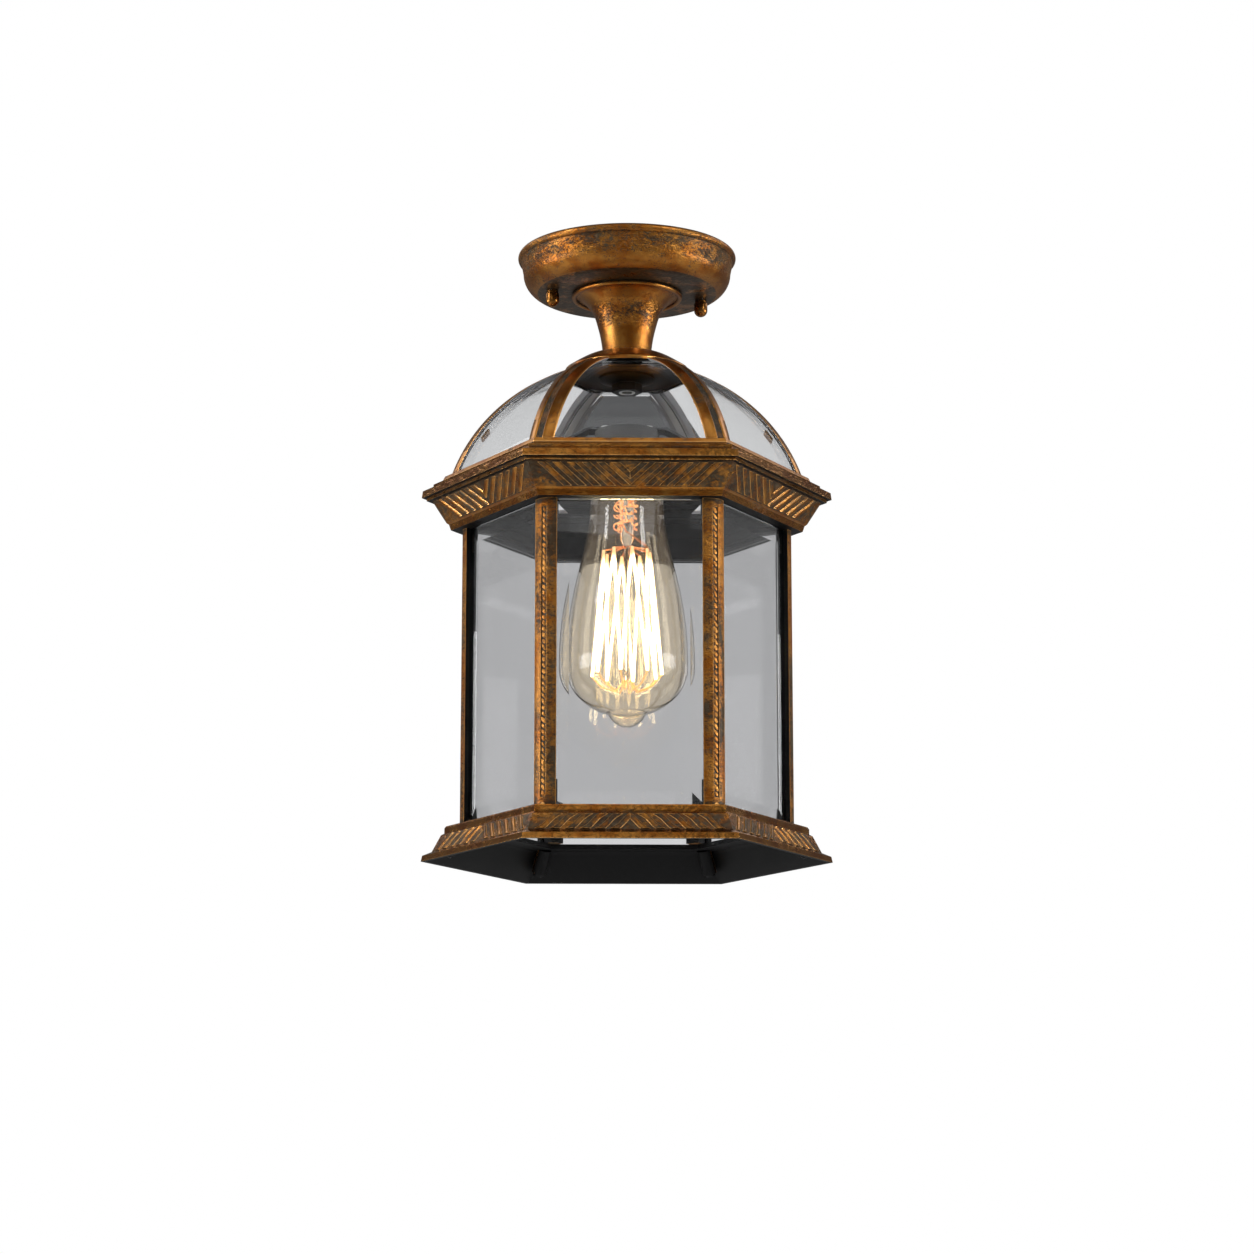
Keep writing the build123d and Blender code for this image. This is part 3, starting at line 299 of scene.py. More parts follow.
# the bulb's glass glows and darkens at its outline: painted glow and painted shade
lampGlass = makeGlass("lampGlass", rgb(0.960, 0.905, 0.80), rgb(0.950, 0.890, 0.77),
                      wave=0.03, glow=0.026, rim=0.9)
stemGlass = makeGlass("stemGlass", rgb(0.97, 0.95, 0.91), rgb(0.95, 0.93, 0.88))
blackGlass = makeBlack("blackGlass", shade=0.008, rough=0.08)
blackScrew = makeBlack("blackScrew", shade=0.010, rough=0.16)
blackMatte = makeBlack("blackMatte", shade=0.075, rough=0.70)
# painted light: a light grey for the dome frame's inner faces, in place of the black paint that the glass
# keeps in shade
greyPaintedLight = makeBlack("greyPaintedLight", shade=0.38, rough=0.45)
zincSteel = makeMetal("zincSteel", rgb(0.62, 0.62, 0.60), rgb(0.48, 0.48, 0.47), rough=0.28)
brass = makeMetal("brass", rgb(0.72, 0.50, 0.20), rgb(0.56, 0.37, 0.14), rough=0.25)
goldNut = makeMetal("goldNut", rgb(0.32, 0.140, 0.034), rgb(0.20, 0.080, 0.016), rough=0.18)
# the hooks and lead wires carry a painted glow
wirePaintedGlow = makeWirePaintedGlow("wirePaintedGlow", strength=1.8, dim=-172.0, foot=-250.0)
porcelain = makePorcelain("porcelain")
filamentGlow = makeGlow("filamentGlow", rgb(1.0, 0.83, 0.50), rgb(0.055, 0.024, 0.006), strength=26.0,
                        cool=(-199.0, -186.0))
print("finishes made")


# Mesh building

def drawLine(bm, points, closed=False):
    verts = [bm.verts.new(point) for point in points]
    pairs = list(zip(verts, verts[1:]))
    if closed:
        pairs.append((verts[-1], verts[0]))
    return verts + [bm.edges.new(pair) for pair in pairs]


def spread(first, last, count):
    return [first + (last - first) * k / count for k in range(count + 1)]


def arc(centre, radius, first, last, count):
    turns = [math.radians(degrees) for degrees in spread(first, last, count)]
    return [(centre[0] + radius * math.cos(t), centre[1] + radius * math.sin(t)) for t in turns]


def flow(knots, count):
    # smooth line through knots given as radius, height and direction
    line = [knots[0][:2]]
    for (r0, z0, dr0, dz0), (r1, z1, dr1, dz1) in zip(knots, knots[1:]):
        start = Vector((r0, z0, 0))
        end = Vector((r1, z1, 0))
        pull = (end - start).length / 3
        leave = Vector((dr0, dz0, 0)).normalized() * pull
        meet = Vector((dr1, dz1, 0)).normalized() * pull
        line += [(p.x, p.y) for p in interpolate_bezier(start, start + leave, end - meet, end, count)[1:]]
    return line


def lathe(bm, outline, steps, closed=True, lift=0.0):
    line = drawLine(bm, [(r, 0, z) for r, z in outline], closed)
    bmesh.ops.spin(bm, geom=line, cent=(0, 0, 0), axis=(0, 0, 1), dvec=(0, 0, lift / steps),
                   angle=2 * math.pi, steps=steps, use_merge=lift == 0.0, use_duplicate=False)


def sweep(bm, section, stations, place, painted={}):
    # carries a closed section along stations; painted gives a finish slot to an edge of the section
    key = bm.verts.layers.int.new("key")
    line = drawLine(bm, [place(point, stations[0]) for point in section], True)
    verts = line[:len(section)]
    edges = line[len(section):]
    for number, vert in enumerate(verts):
        vert[key] = number
    bmesh.ops.contextual_create(bm, geom=edges)
    for station in stations[1:]:
        made = bmesh.ops.extrude_edge_only(bm, edges=edges)["geom"]
        for face in [item for item in made if isinstance(item, bmesh.types.BMFace)]:
            face.material_index = painted.get(min(vert[key] for vert in face.verts), 0)
        for vert in [item for item in made if isinstance(item, bmesh.types.BMVert)]:
            vert.co = place(section[vert[key]], station)
        edges = [e for e in made if isinstance(e, bmesh.types.BMEdge) and all(v in made for v in e.verts)]
    bmesh.ops.contextual_create(bm, geom=edges)
    bm.verts.layers.int.remove(key)


def cleanUp(bm):
    bmesh.ops.remove_doubles(bm, verts=bm.verts, dist=weld)
    bmesh.ops.recalc_face_normals(bm, faces=bm.faces)


def softEdges(bm, width, limit=32, segments=2):
    sharp = [e for e in bm.edges if len(e.link_faces) == 2 and e.calc_face_angle() > math.radians(limit)]
    made = bmesh.ops.bevel(bm, geom=sharp, offset=width, offset_type="OFFSET", segments=segments,
                           profile=0.5, affect="EDGES", material=-1, clamp_overlap=True)
    eased = set(made["faces"])
    for edge in {e for face in eased for e in face.edges}:
        edge.smooth = all(face in eased for face in edge.link_faces)   # the flats beside it stay flat


def cadCopy(node):
    # a node's own mesh, merged and with its flats joined
    bm = bmesh.new()
    bm.from_mesh(nodes[node].data)
    bmesh.ops.scale(bm, vec=(1 / mm,) * 3, verts=bm.verts)
    bmesh.ops.remove_doubles(bm, verts=bm.verts, dist=weld)
    bmesh.ops.dissolve_limit(bm, angle_limit=math.radians(0.4), verts=bm.verts, edges=bm.edges)
    return bm


def wholeOf(bm):
    return bm.verts[:] + bm.edges[:] + bm.faces[:]


def cutOff(bm, spot, normal):
    bmesh.ops.bisect_plane(bm, geom=wholeOf(bm), dist=snap, plane_co=spot, plane_no=normal, clear_outer=True)


def fillHoles(bm):
    bmesh.ops.holes_fill(bm, edges=[e for e in bm.edges if e.is_boundary], sides=0)


def merge(target, source):
    mesh = bpy.data.meshes.new("merged")
    source.to_mesh(mesh)
    source.free()
    target.from_mesh(mesh)
    bpy.data.meshes.remove(mesh)


def paint(bm, test, slot):
    # test reads a face's centre and normal
    for face in bm.faces:
        if test(face.calc_center_median(), face.normal):
            face.material_index = slot


def direction(angle):
    return Vector((math.cos(angle), math.sin(angle), 0))


def radialOut(centre, normal):
    # 1 on a face that looks away from the axis, -1 on one that looks at it
    return (centre.x * normal.x + centre.y * normal.y) / max(math.hypot(centre.x, centre.y), 0.001)


def flatReach(centre):
    # distance from the axis, square to the nearest side
    angle = math.atan2(centre.y, centre.x) % turn - turn / 2
    return math.hypot(centre.x, centre.y) * math.cos(angle)


def sideOut(number):
    # outward direction of a side, counted from the front one
    return direction(-math.pi / 2 + (number - 1) * turn)


def addPiece(bm, name, body, finishes, replaced, sharp=38):
    for edge in bm.edges:
        if len(edge.link_faces) == 2 and edge.calc_face_angle() > math.radians(sharp):
            edge.smooth = False
    bmesh.ops.scale(bm, vec=(mm,) * 3, verts=bm.verts)
    mesh = bpy.data.meshes.new(name)
    bm.to_mesh(mesh)
    bm.free()
    mesh.shade_smooth()
    for finish in finishes:
        mesh.materials.append(finish)
    piece = bpy.data.objects.new(name, mesh)
    bpy.context.scene.collection.objects.link(piece)
    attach(piece, body)
    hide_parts(*replaced)


# Canopy

canopy = {"rimR": 66.7, "rimHeight": 5.0, "wallR": 63.4, "cornerR": 13.0, "sheet": 1.5, "holeR": 5.4}
canopyLow = lowZ("canopy")
canopyTop = highZ("canopy")


def makeCanopy():
    c = canopy
    bm = bmesh.new()
    bead = c["rimHeight"] / 2
    cornerAt = (c["wallR"] - c["cornerR"], canopyLow + c["cornerR"])
    outline = [(c["holeR"], canopyLow)]
    outline += arc(cornerAt, c["cornerR"], -90, 0, 14)
    outline += arc((c["rimR"] - bead, canopyTop - bead), bead, -75, 90, 12)
    outline += [(c["wallR"] - c["sheet"], canopyTop)]
    outline += arc(cornerAt, c["cornerR"] - c["sheet"], 0, -90, 12)
    outline += [(c["holeR"], canopyLow + c["sheet"])]
    lathe(bm, outline, steps=128)
    cleanUp(bm)
    finishes = [goldSpun, goldUnderPaintedShade]
    # down-facing faces take the darker copy of the gold: painted shade under the canopy
    paint(bm, lambda centre, normal: normal.z < -0.93, finishes.index(goldUnderPaintedShade))
    addPiece(bm, "canopy_spun", "lantern", finishes, ["canopy"])


# Neck

neck = {"flangeR": 33.8, "flangeLip": 3.0, "throat": (24.0, 6.5), "waist": (17.3, 22.0), "footR": 14.7,
        "footEase": 0.5, "wall": 3.2, "boreR": 5.2}


def makeNeck():
    n = neck
    bm = bmesh.new()
    top = highZ("neck")
    foot = lowZ("neck")
    lip = n["flangeLip"]
    ease = n["footEase"]
    waistR, waistDrop = n["waist"]
    throatR, throatDrop = n["throat"]
    outline = [(n["boreR"], foot), (n["footR"] - ease, foot), (n["footR"], foot + ease)]
    side = flow([(n["footR"], foot + 2 * ease, 0.10, 1), (waistR, top - waistDrop, 0.27, 1),
                 (throatR, top - throatDrop, 1.0, 1.0), (n["flangeR"] - lip, top - lip / 2, 1, 0.18)], 12)
    outline += side + arc((n["flangeR"] - lip / 2, top - lip / 2), lip / 2, -165, 90, 12)
    outline += [(throatR, top)]
    outline += [(r - n["wall"], z) for r, z in reversed(side) if foot + n["wall"] < z < top - throatDrop]
    outline += [(n["boreR"], foot + n["wall"])]
    lathe(bm, outline, steps=112)
    cleanUp(bm)
    addPiece(bm, "neck_trumpet", "lantern", [goldNeck], ["neck"])


# Cap nuts

capNut = {"r": 4.1, "shoulderRun": 0.5, "shoulderEase": 0.15, "collarR": 3.6, "collarHeight": 1.6,
          "collarEase": 0.2, "boreR": 2.05, "boreEnd": 3.2}


def makeCapNut(node):
    c = capNut
    bm = bmesh.new()
    low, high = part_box(node)
    mid = (low + high) / 2 / mm
    top = high.z / mm
    foot = low.z / mm
    shoulder = top - c["collarHeight"]
    ease = c["shoulderEase"]
    collarEase = c["collarEase"]
    outline = [(0, foot)] + arc((0, foot + c["r"]), c["r"], -84, 0, 12)
    outline += [(c["r"], shoulder - c["shoulderRun"]), (c["r"] - ease, shoulder - ease),
                (c["collarR"], shoulder)]
    outline += [(c["collarR"], top - collarEase), (c["collarR"] - collarEase, top), (c["boreR"], top)]
    outline += [(c["boreR"], foot + c["boreEnd"]), (0, foot + c["boreEnd"])]
    lathe(bm, outline, steps=40, closed=False)
    bmesh.ops.translate(bm, vec=(mid.x, mid.y, 0), verts=bm.verts)
    cleanUp(bm)
    addPiece(bm, node + "_domed", node, [goldNut], [node])


makeCanopy()
makeNeck()
for nutNode in ("cap_nut_1", "cap_nut_2"):
    makeCapNut(nutNode)
print("ceiling side made")


# Twisted edge of the posts

rope = {"pitch": 3.5, "long": 2.1, "wide": 1.00, "high": 0.34, "slant": 30, "stray": 0.28}


def addRope(bm, positions, slot):
    # a row of slanted twists; each position is a point, the run's direction and the outward normal
    for point, run, out in positions:
        across = out.cross(run)
        spin = Matrix((run, across, out)).transposed().to_4x4()
        stray = [1 + random.uniform(-1, 1) * rope["stray"] for _ in range(3)]
        slant = Matrix.Rotation(math.radians(rope["slant"] * stray[0]), 4, "Z")
        size = Matrix.Diagonal((rope["long"] * stray[1], rope["wide"] * stray[2], rope["high"], 1))
        made = bmesh.ops.create_icosphere(bm, subdivisions=1, radius=1.0,
                                          matrix=Matrix.Translation(point) @ spin @ slant @ size)
        for face in {f for v in made["verts"] for f in v.link_faces}:
            face.material_index = slot


# Dome frame: crown, six grooved ribs and the base rail

dome = {"footR": 107.7, "rimR": 38.0, "rimDrop": 9.9, "arcR": 105.7, "flatR": 18.5, "hubR": 30.0,
        "hubDepth": 13.4, "edge": 2.6, "boreR": 5.2, "railHeight": 2.8, "railR": 111.5, "railInner": 100.0,
        "railChamfer": 1.4, "flatEase": (1.0, 0.1), "rimEase": (0.4, 0.3), "underEase": 0.5}
rib = {"half": 8.6, "sheet": 2.6, "flat": 3.4, "undercut": 3.6, "ease": 0.3, "grooveShare": 0.82,
       "grooveWall": 0.1, "grooveDeep": 0.45, "start": 0.6, "stop": 0.3, "steps": 44}
domePane = {"thick": 3.0, "edge": 3.5, "gap": 0.2, "ease": 0.25, "steps": 40}
crownTop = highZ("dome_frame")
railLow = lowZ("dome_frame")
railTop = railLow + dome["railHeight"]
rimZ = crownTop - dome["rimDrop"]


def domeCentre():
    # centre of the ribs' arc, from its two ends and its radius
    foot = Vector((dome["footR"], railTop))
    rim = Vector((dome["rimR"], rimZ))
    half = (rim - foot) / 2
    leg = math.sqrt(dome["arcR"] ** 2 - half.length_squared)
    inward = Vector((-half.y, half.x)).normalized()
    return foot + half + inward * leg


arcCentre = domeCentre()


def domeAt(phi, depth):
    reach = dome["arcR"] - depth
    return arcCentre.x + reach * math.cos(phi), arcCentre.y + reach * math.sin(phi)


def phiAtZ(z, depth=0.0):
    return math.asin((z - arcCentre.y) / (dome["arcR"] - depth))


def ribPoint(angle, hand, along, depth, phi):
    # along is the way down a flange from the corner; hand runs from one flange, -1, to the other, 1
    cornerR, z = domeAt(phi, depth)
    corner = direction(angle) * cornerR
    corner.z = z
    ends = [corner + direction(angle + side * 2 * turn) * along for side in (-1, 1)]
    return ends[0].lerp(ends[1], (1 + hand) / 2)


def ribSection():
    r = rib
    reach = r["half"] / flatShare
    lip = r["grooveShare"]
    wall = lip - r["grooveWall"]
    groove = [(-lip, r["flat"], 0.0), (-wall, r["flat"], r["grooveDeep"]),
              (wall, r["flat"], r["grooveDeep"]), (lip, r["flat"], 0.0)]
    flange = [(1, r["flat"], 0.0), (1, reach - r["ease"], 0.0), (1, reach, r["ease"]),
              (1, reach - r["undercut"], r["sheet"])]
    return groove + flange + [(1, 0.0, r["sheet"])] + [(-1, a, t) for _, a, t in reversed(flange)]


def makeDomeFrame():
    d = dome
    finishes = [goldRib, greyPaintedLight, bedDark, blackPaint]
    bm = bmesh.new()
    stations = spread(phiAtZ(railLow + rib["start"]), phiAtZ(rimZ - rib["stop"]), rib["steps"])
    grooveFloor = {1: finishes.index(bedDark)}
    for k in range(sideCount):
        angle = k * turn
        sweep(bm, ribSection(), stations, lambda p, phi, a=angle: ribPoint(a, *p, phi), grooveFloor)
    rail = [(d["railInner"], railLow), (d["railR"], railLow), (d["railR"] - d["railChamfer"], railTop),
            (d["railInner"], railTop)]
    lathe(bm, rail, steps=sideCount)
    cleanUp(bm)
    softEdges(bm, rib["ease"])
    edgeZ = rimZ - d["edge"]
    hubZ = crownTop - d["hubDepth"]
    flatIn, flatDip = d["flatEase"]
    rimIn, rimUp = d["rimEase"]
    under = d["underEase"]
    crown = [(d["boreR"], crownTop), (d["flatR"] - flatIn, crownTop)]
    crown += flow([(d["flatR"], crownTop - flatDip, 1, -0.15),
                   (d["rimR"] - rimIn, rimZ + rimUp, 1, -0.62)], 9)
    crown += [(d["rimR"], rimZ - rimIn), (d["rimR"], edgeZ + under), (d["rimR"] - under, edgeZ)]
    crown += [(d["hubR"], edgeZ), (d["hubR"], hubZ), (d["boreR"], hubZ)]
    lathe(bm, crown, steps=96)
    cleanUp(bm)
    # inner faces of the ribs, rail and crown take the light grey: painted light
    paint(bm, lambda c, n: radialOut(c, n) < -0.55 or n.z < -0.55, finishes.index(greyPaintedLight))
    paint(bm, lambda c, n: n.z < -0.55 and math.hypot(c.x, c.y) < d["rimR"], finishes.index(blackPaint))
    addPiece(bm, "dome_frame_cast", "lantern", finishes, ["dome_frame"])


def makeDomePane(number):
    p = domePane
    node = f"dome_pane_{number}"
    bm = bmesh.new()
    out = sideOut(number)
    run = Vector((-out.y, out.x, 0))
    stations = spread(phiAtZ(lowZ(node), rib["sheet"]), phiAtZ(highZ(node), rib["sheet"]), p["steps"])
    outer = rib["sheet"] + p["gap"]
    inner = rib["sheet"] + p["thick"]
    section = [(-1, outer), (1, outer), (1, inner), (-1, inner)]

    def place(point, phi):
        hand, depth = point
        cornerR, z = domeAt(phi, depth)
        spot = out * cornerR * flatShare + run * hand * (cornerR / 2 - p["edge"])
        spot.z = z
        return spot
    sweep(bm, section, stations, place)
    cleanUp(bm)
    softEdges(bm, p["ease"], limit=45, segments=1)
    addPiece(bm, node + "_bent", "lantern", [domeGlass], [node])


makeDomeFrame()
for paneNumber in range(1, sideCount + 1):
    makeDomePane(paneNumber)
print("dome made")


# Friezes: nested reeds on the sloping band of the cornice and of the skirt

reed = {"wide": 3.5, "high": 1.15, "flat": 0.85, "first": 9.3, "pitch": 8.5, "count": 6, "slope": 43,
        "sink": 0.25, "apexGap": 0.15, "segments": 12, "bends": 9}


def makeReeds(slant, bow, margin):
    # the right half of one side's reeds, drawn flat and cut to the band
    r = reed
    made = bmesh.new()
    angle = math.radians(r["slope"])
    lying = Matrix.Rotation(math.pi / 2, 4, "Y")
    for k in range(r["count"]):
        bar = bmesh.new()
        bmesh.ops.create_cone(bar, cap_ends=True, segments=r["segments"], radius1=r["wide"] / 2,
                              radius2=r["wide"] / 2, depth=3 * slant, matrix=lying)
        long = [e for e in bar.edges if abs(e.verts[0].co.x - e.verts[1].co.x) > 1]
        bmesh.ops.subdivide_edges(bar, edges=long, cuts=r["bends"])
        for vert in bar.verts:
            vert.co.y += bow * math.sin(2 * math.pi * vert.co.x * math.sin(angle) / slant)
            vert.co.z *= 2 * r["high"] / r["wide"]
        bmesh.ops.rotate(bar, cent=(0, 0, 0), matrix=Matrix.Rotation(angle, 3, "Z"), verts=bar.verts)
        middle = r["first"] + r["pitch"] * k - slant / 2 / math.tan(angle)
        bmesh.ops.translate(bar, vec=(middle, -slant / 2, -r["sink"]), verts=bar.verts)
        merge(made, bar)
    cuts = [((r["apexGap"], 0, 0), (-1, 0, 0)),
            ((0, -margin, 0), (0, 1, 0)), ((0, margin - slant, 0), (0, -1, 0)),
            ((0, 0, -r["sink"]), (0, 0, -1)), ((0, 0, r["flat"] - r["sink"]), (0, 0, 1))]
    for spot, normal in cuts:
        cutOff(made, spot, normal)
        fillHoles(made)
    return made


def addFrieze(bm, top, bottom, slot, shape):
    # top and bottom are the band's corner radius and height
    drop = top[1] - bottom[1]
    lean = (top[0] - bottom[0]) * flatShare
    slant = math.hypot(drop, lean)
    made = makeReeds(slant, shape["bow"], shape["margin"])
    if not shape["apexDown"]:
        bmesh.ops.scale(made, vec=(1, -1, 1), verts=made.verts)
        bmesh.ops.translate(made, vec=(0, -slant, 0), verts=made.verts)
    bmesh.ops.mirror(made, geom=wholeOf(made), axis="X", merge_dist=0.001)
    bmesh.ops.recalc_face_normals(made, faces=made.faces)
    for face in made.faces:
        face.material_index = slot
    down = Vector((0, lean, -drop)).normalized()              # for the front side, which looks along -Y
    across = Vector((1, 0, 0))
    facing = Matrix((across, -down, down.cross(across))).transposed().to_4x4()
    seat = Matrix.Translation((0, -top[0] * flatShare, top[1])) @ facing
    bmesh.ops.transform(made, matrix=seat, verts=made.verts)
    bmesh.ops.spin(made, geom=wholeOf(made), cent=(0, 0, 0), axis=(0, 0, 1), dvec=(0, 0, 0),
                   angle=2 * math.pi - turn, steps=sideCount - 1, use_merge=False, use_duplicate=True)
    merge(bm, made)


# Cornice and skirt

cornice = {"friezeTop": (117.6, 12.7), "friezeLow": (108.9, 26.2), "insideCorner": 99.0, "ease": 0.35,
           "apexDown": True, "bow": 0.0, "margin": 0.7}
skirt = {"friezeTop": (110.2, 5.4), "friezeLow": (115.6, 15.4), "insideFlat": 86.0, "ease": 0.3,
         "apexDown": False, "bow": 0.5, "margin": 0.6}


def inCornice(centre, normal):
    underneath = normal.z < -0.5 and flatReach(centre) < cornice["insideCorner"] * flatShare
    return radialOut(centre, normal) < -0.2 or underneath


def inSkirt(centre, normal):
    return radialOut(centre, normal) < -0.15 or normal.z < -0.6 or flatReach(centre) < skirt["insideFlat"]


def makeRing(node, shape, isInside):
    finishes = [goldCast, blackPaint, goldDeep, goldReed]
    bm = cadCopy(node)
    softEdges(bm, shape["ease"])
    paint(bm, isInside, finishes.index(blackPaint))
    top, bottom = [(radius, highZ(node) - drop) for radius, drop in (shape["friezeTop"], shape["friezeLow"])]

    def onBand(centre, normal):
        return bottom[1] + 0.5 < centre.z < top[1] - 0.5 and radialOut(centre, normal) > 0.4
    paint(bm, onBand, finishes.index(goldDeep))
    addFrieze(bm, top, bottom, finishes.index(goldReed), shape)
    addPiece(bm, node + "_cast", "lantern", finishes, [node])


# Posts

post = {"faceR": 99.0, "grooveDeep": 0.5, "end": 7.0, "webR": 91.0, "ease": 0.3}


def makePost(number):
    p = post
    finishes = [goldPost, blackPaint, bedDark, goldTwist]
    node = f"post_{number}"
    out = direction(math.pi + number * turn)
    up = Vector((0, 0, 1))
    floor = p["faceR"] - p["grooveDeep"]

    def isInside(centre, normal):
        turnedIn = abs(normal.z) < 0.5 and radialOut(centre, normal) < 0.2
        return turnedIn or math.hypot(centre.x, centre.y) < p["webR"]

    def inGroove(centre, normal):
        return normal.dot(out) > 0.98 and abs(centre.dot(out) - floor) < 0.1
    bm = cadCopy(node)
    softEdges(bm, p["ease"])
    paint(bm, isInside, finishes.index(blackPaint))
    paint(bm, inGroove, finishes.index(bedDark))
    low = lowZ(node) + p["end"]
    high = highZ(node) - p["end"]
    rows = spread(low, high, int((high - low) / rope["pitch"]))
    addRope(bm, [(out * floor + up * z, up, out) for z in rows], finishes.index(goldTwist))
    addPiece(bm, node + "_cast", "lantern", finishes, [node])


# Side panes, set back a hair from the flanges

sidePane = {"gap": 0.2}


def makeSidePane(number):
    node = f"side_pane_{number}"
    bm = cadCopy(node)
    out = sideOut(number)
    face = max(v.co.dot(out) for v in bm.verts)
    outer = [v for v in bm.verts if v.co.dot(out) > face - weld]
    bmesh.ops.translate(bm, vec=out * -sidePane["gap"], verts=outer)
    addPiece(bm, node + "_bevelled", "lantern", [clearGlass], [node], sharp=1)


makeRing("cornice", cornice, inCornice)
makeRing("skirt", skirt, inSkirt)
for postNumber in range(1, sideCount + 1):
    makePost(postNumber)
for paneNumber in range(1, sideCount + 1):
    makeSidePane(paneNumber)
print("body made")


# Lamp

lamp = {"throatR": 12.5, "throatRise": 4.0, "throatDrop": 0.3, "shoulderR": 18.6, "shoulderDrop": 5.1,
        "neckR": 22.0, "neckDrop": 16.0, "taperR": 33.6, "taperDrop": 74.0, "bowlR": 36.5, "bowlDrop": 111.8,
        "bowlDepth": 30.0, "tipR": 11.2, "tipHeight": 8.0, "wall": 1.1}
capLow = lowZ("bulb_cap")


def glassOutline(shrink):
    s = lamp
    z = capLow
    throatR = s["throatR"] - shrink
    bowlR = s["bowlR"] - shrink
    bowlZ = z - s["bowlDrop"]
    bowlDepth = s["bowlDepth"] - shrink
    line = [(throatR, z + s["throatRise"])]
    line += flow([(throatR, z - s["throatDrop"], 0, -1),
                  (s["shoulderR"] - shrink, z - s["shoulderDrop"], 1.0, -0.75),
                  (s["neckR"] - shrink, z - s["neckDrop"], 0.10, -1),
                  (s["taperR"] - shrink, z - s["taperDrop"], 0.17, -1),
                  (bowlR, bowlZ, 0, -1)], 12)
    last = math.acos((s["tipR"] - shrink) / bowlR)
    line += [(bowlR * math.cos(t), bowlZ - bowlDepth * math.sin(t)) for t in spread(0, last, 20)[1:]]
    tipR, tipZ = line[-1]
    ballR = (tipR ** 2 + s["tipHeight"] ** 2) / (2 * s["tipHeight"])
    ballZ = tipZ - s["tipHeight"] + ballR
    first = math.degrees(math.asin((tipZ - ballZ) / ballR))
    return line + arc((0.0, ballZ), ballR, first, -90, 12)[1:]


def makeGlassBulb():
    bm = bmesh.new()
    outer = glassOutline(0.0)
    inner = glassOutline(lamp["wall"])
    lathe(bm, outer + list(reversed(inner)), steps=96)
    cleanUp(bm)
    addPiece(bm, "bulb_glass_blown", "bulb", [lampGlass], ["bulb_glass"], sharp=60)


cap = {"r": 13.2, "pitch": 3.6, "depth": 0.75, "points": 8, "threadDrop": 1.5,
       "shoulder": ((0, 0), (7.5, 0), (12.2, 1.2), (12.4, 1.6), (0, 1.6))}     # radius and drop


def makeCap():
    c = cap
    bm = bmesh.new()
    top = highZ("bulb_cap")
    rows = int((top - capLow) / c["pitch"]) + 3
    line = []
    for k in range(rows * c["points"] + 1):
        turns = k / c["points"]
        wave = math.cos(2 * math.pi * turns)
        line.append((c["r"] + c["depth"] / 2 * (wave - 1), capLow + c["pitch"] * (turns - 1)))
    lathe(bm, line, steps=64, closed=False, lift=c["pitch"])
    cleanUp(bm)
    cutOff(bm, (0, 0, top - c["threadDrop"]), (0, 0, 1))
    cutOff(bm, (0, 0, capLow), (0, 0, -1))
    fillHoles(bm)
    lathe(bm, [(r, top - drop) for r, drop in c["shoulder"]], steps=64, closed=False)
    cleanUp(bm)
    addPiece(bm, "bulb_cap_threaded", "bulb", [brass], ["bulb_cap"])


# Stem: radius and height over the cap's foot, and on the press the direction too

stem = {"flare": ((0, 2.0), (10.8, 2.0), (10.2, 0.6)),
        "press": ((9.6, -1.0, -0.4, -1), (4.2, -22.0, -0.05, -1)),
        "rod": ((4.0, -34.0), (2.0, -38.0), (1.8, -60.0), (1.8, -100.0)),
        "beadZ": -118.2, "beadR": 2.6}


def makeStem():
    s = stem
    bm = bmesh.new()
    outline = [(r, capLow + z) for r, z in s["flare"]]
    outline += flow([(r, capLow + z, dr, dz) for r, z, dr, dz in s["press"]], 10)
    outline += [(r, capLow + z) for r, z in s["rod"]]
    outline += arc((0, capLow + s["beadZ"]), s["beadR"], 50, -90, 10)
    lathe(bm, outline, steps=40, closed=False)
    cleanUp(bm)
    addPiece(bm, "bulb_stem_drawn", "bulb", [stemGlass], ["bulb_stem"], sharp=60)


def wirePiece(name, runs, radius, finish, replaced):
    curve = bpy.data.curves.new(name, "CURVE")
    curve.dimensions = "3D"
    curve.bevel_depth = radius * mm
    curve.bevel_resolution = 2
    curve.use_fill_caps = True
    for run in runs:
        spline = curve.splines.new("POLY")
        spline.points.add(len(run) - 1)
        for point, spot in zip(spline.points, run):
            point.co = (*(Vector(spot) * mm), 1)
    shape = bpy.data.objects.new(name + "_line", curve)
    mesh = bpy.data.meshes.new_from_object(shape)
    bpy.data.objects.remove(shape)
    bpy.data.curves.remove(curve)
    bm = bmesh.new()
    bm.from_mesh(mesh)
    bpy.data.meshes.remove(mesh)
    bmesh.ops.scale(bm, vec=(1 / mm,) * 3, verts=bm.verts)
    addPiece(bm, name, "bulb", [finish], replaced)


# Hooks, legs and lead wires; a hook's bends are radius and height over its end

cage = {"hooks": 8, "topR": 14.3, "topDrop": 41.0, "lowR": 21.3, "lowDrop": 117.0, "turned": 0.25,
        "legR": 0.95, "hookR": 0.5, "topBends": ((1.8, 3.0), (8.58, 1.2)),
        "lowBends": ((1.9, -3.0), (7.242, -9.5), (15.336, -6.5))}
lead = {"topDrop": 10.0, "lowDrop": 29.0, "r": 5.5, "turns": 1.2, "curlR": 1.84, "curls": 9, "swell": 0.805,
        "swellRate": 5.0, "steps": 120, "endR": 12.87, "endRise": 3.0}


def ring(radius, z, number):
    # turned a little, so that front and back legs interleave
    spot = direction(2 * math.pi * (number + cage["turned"]) / cage["hooks"]) * radius
    spot.z = z
    return spot


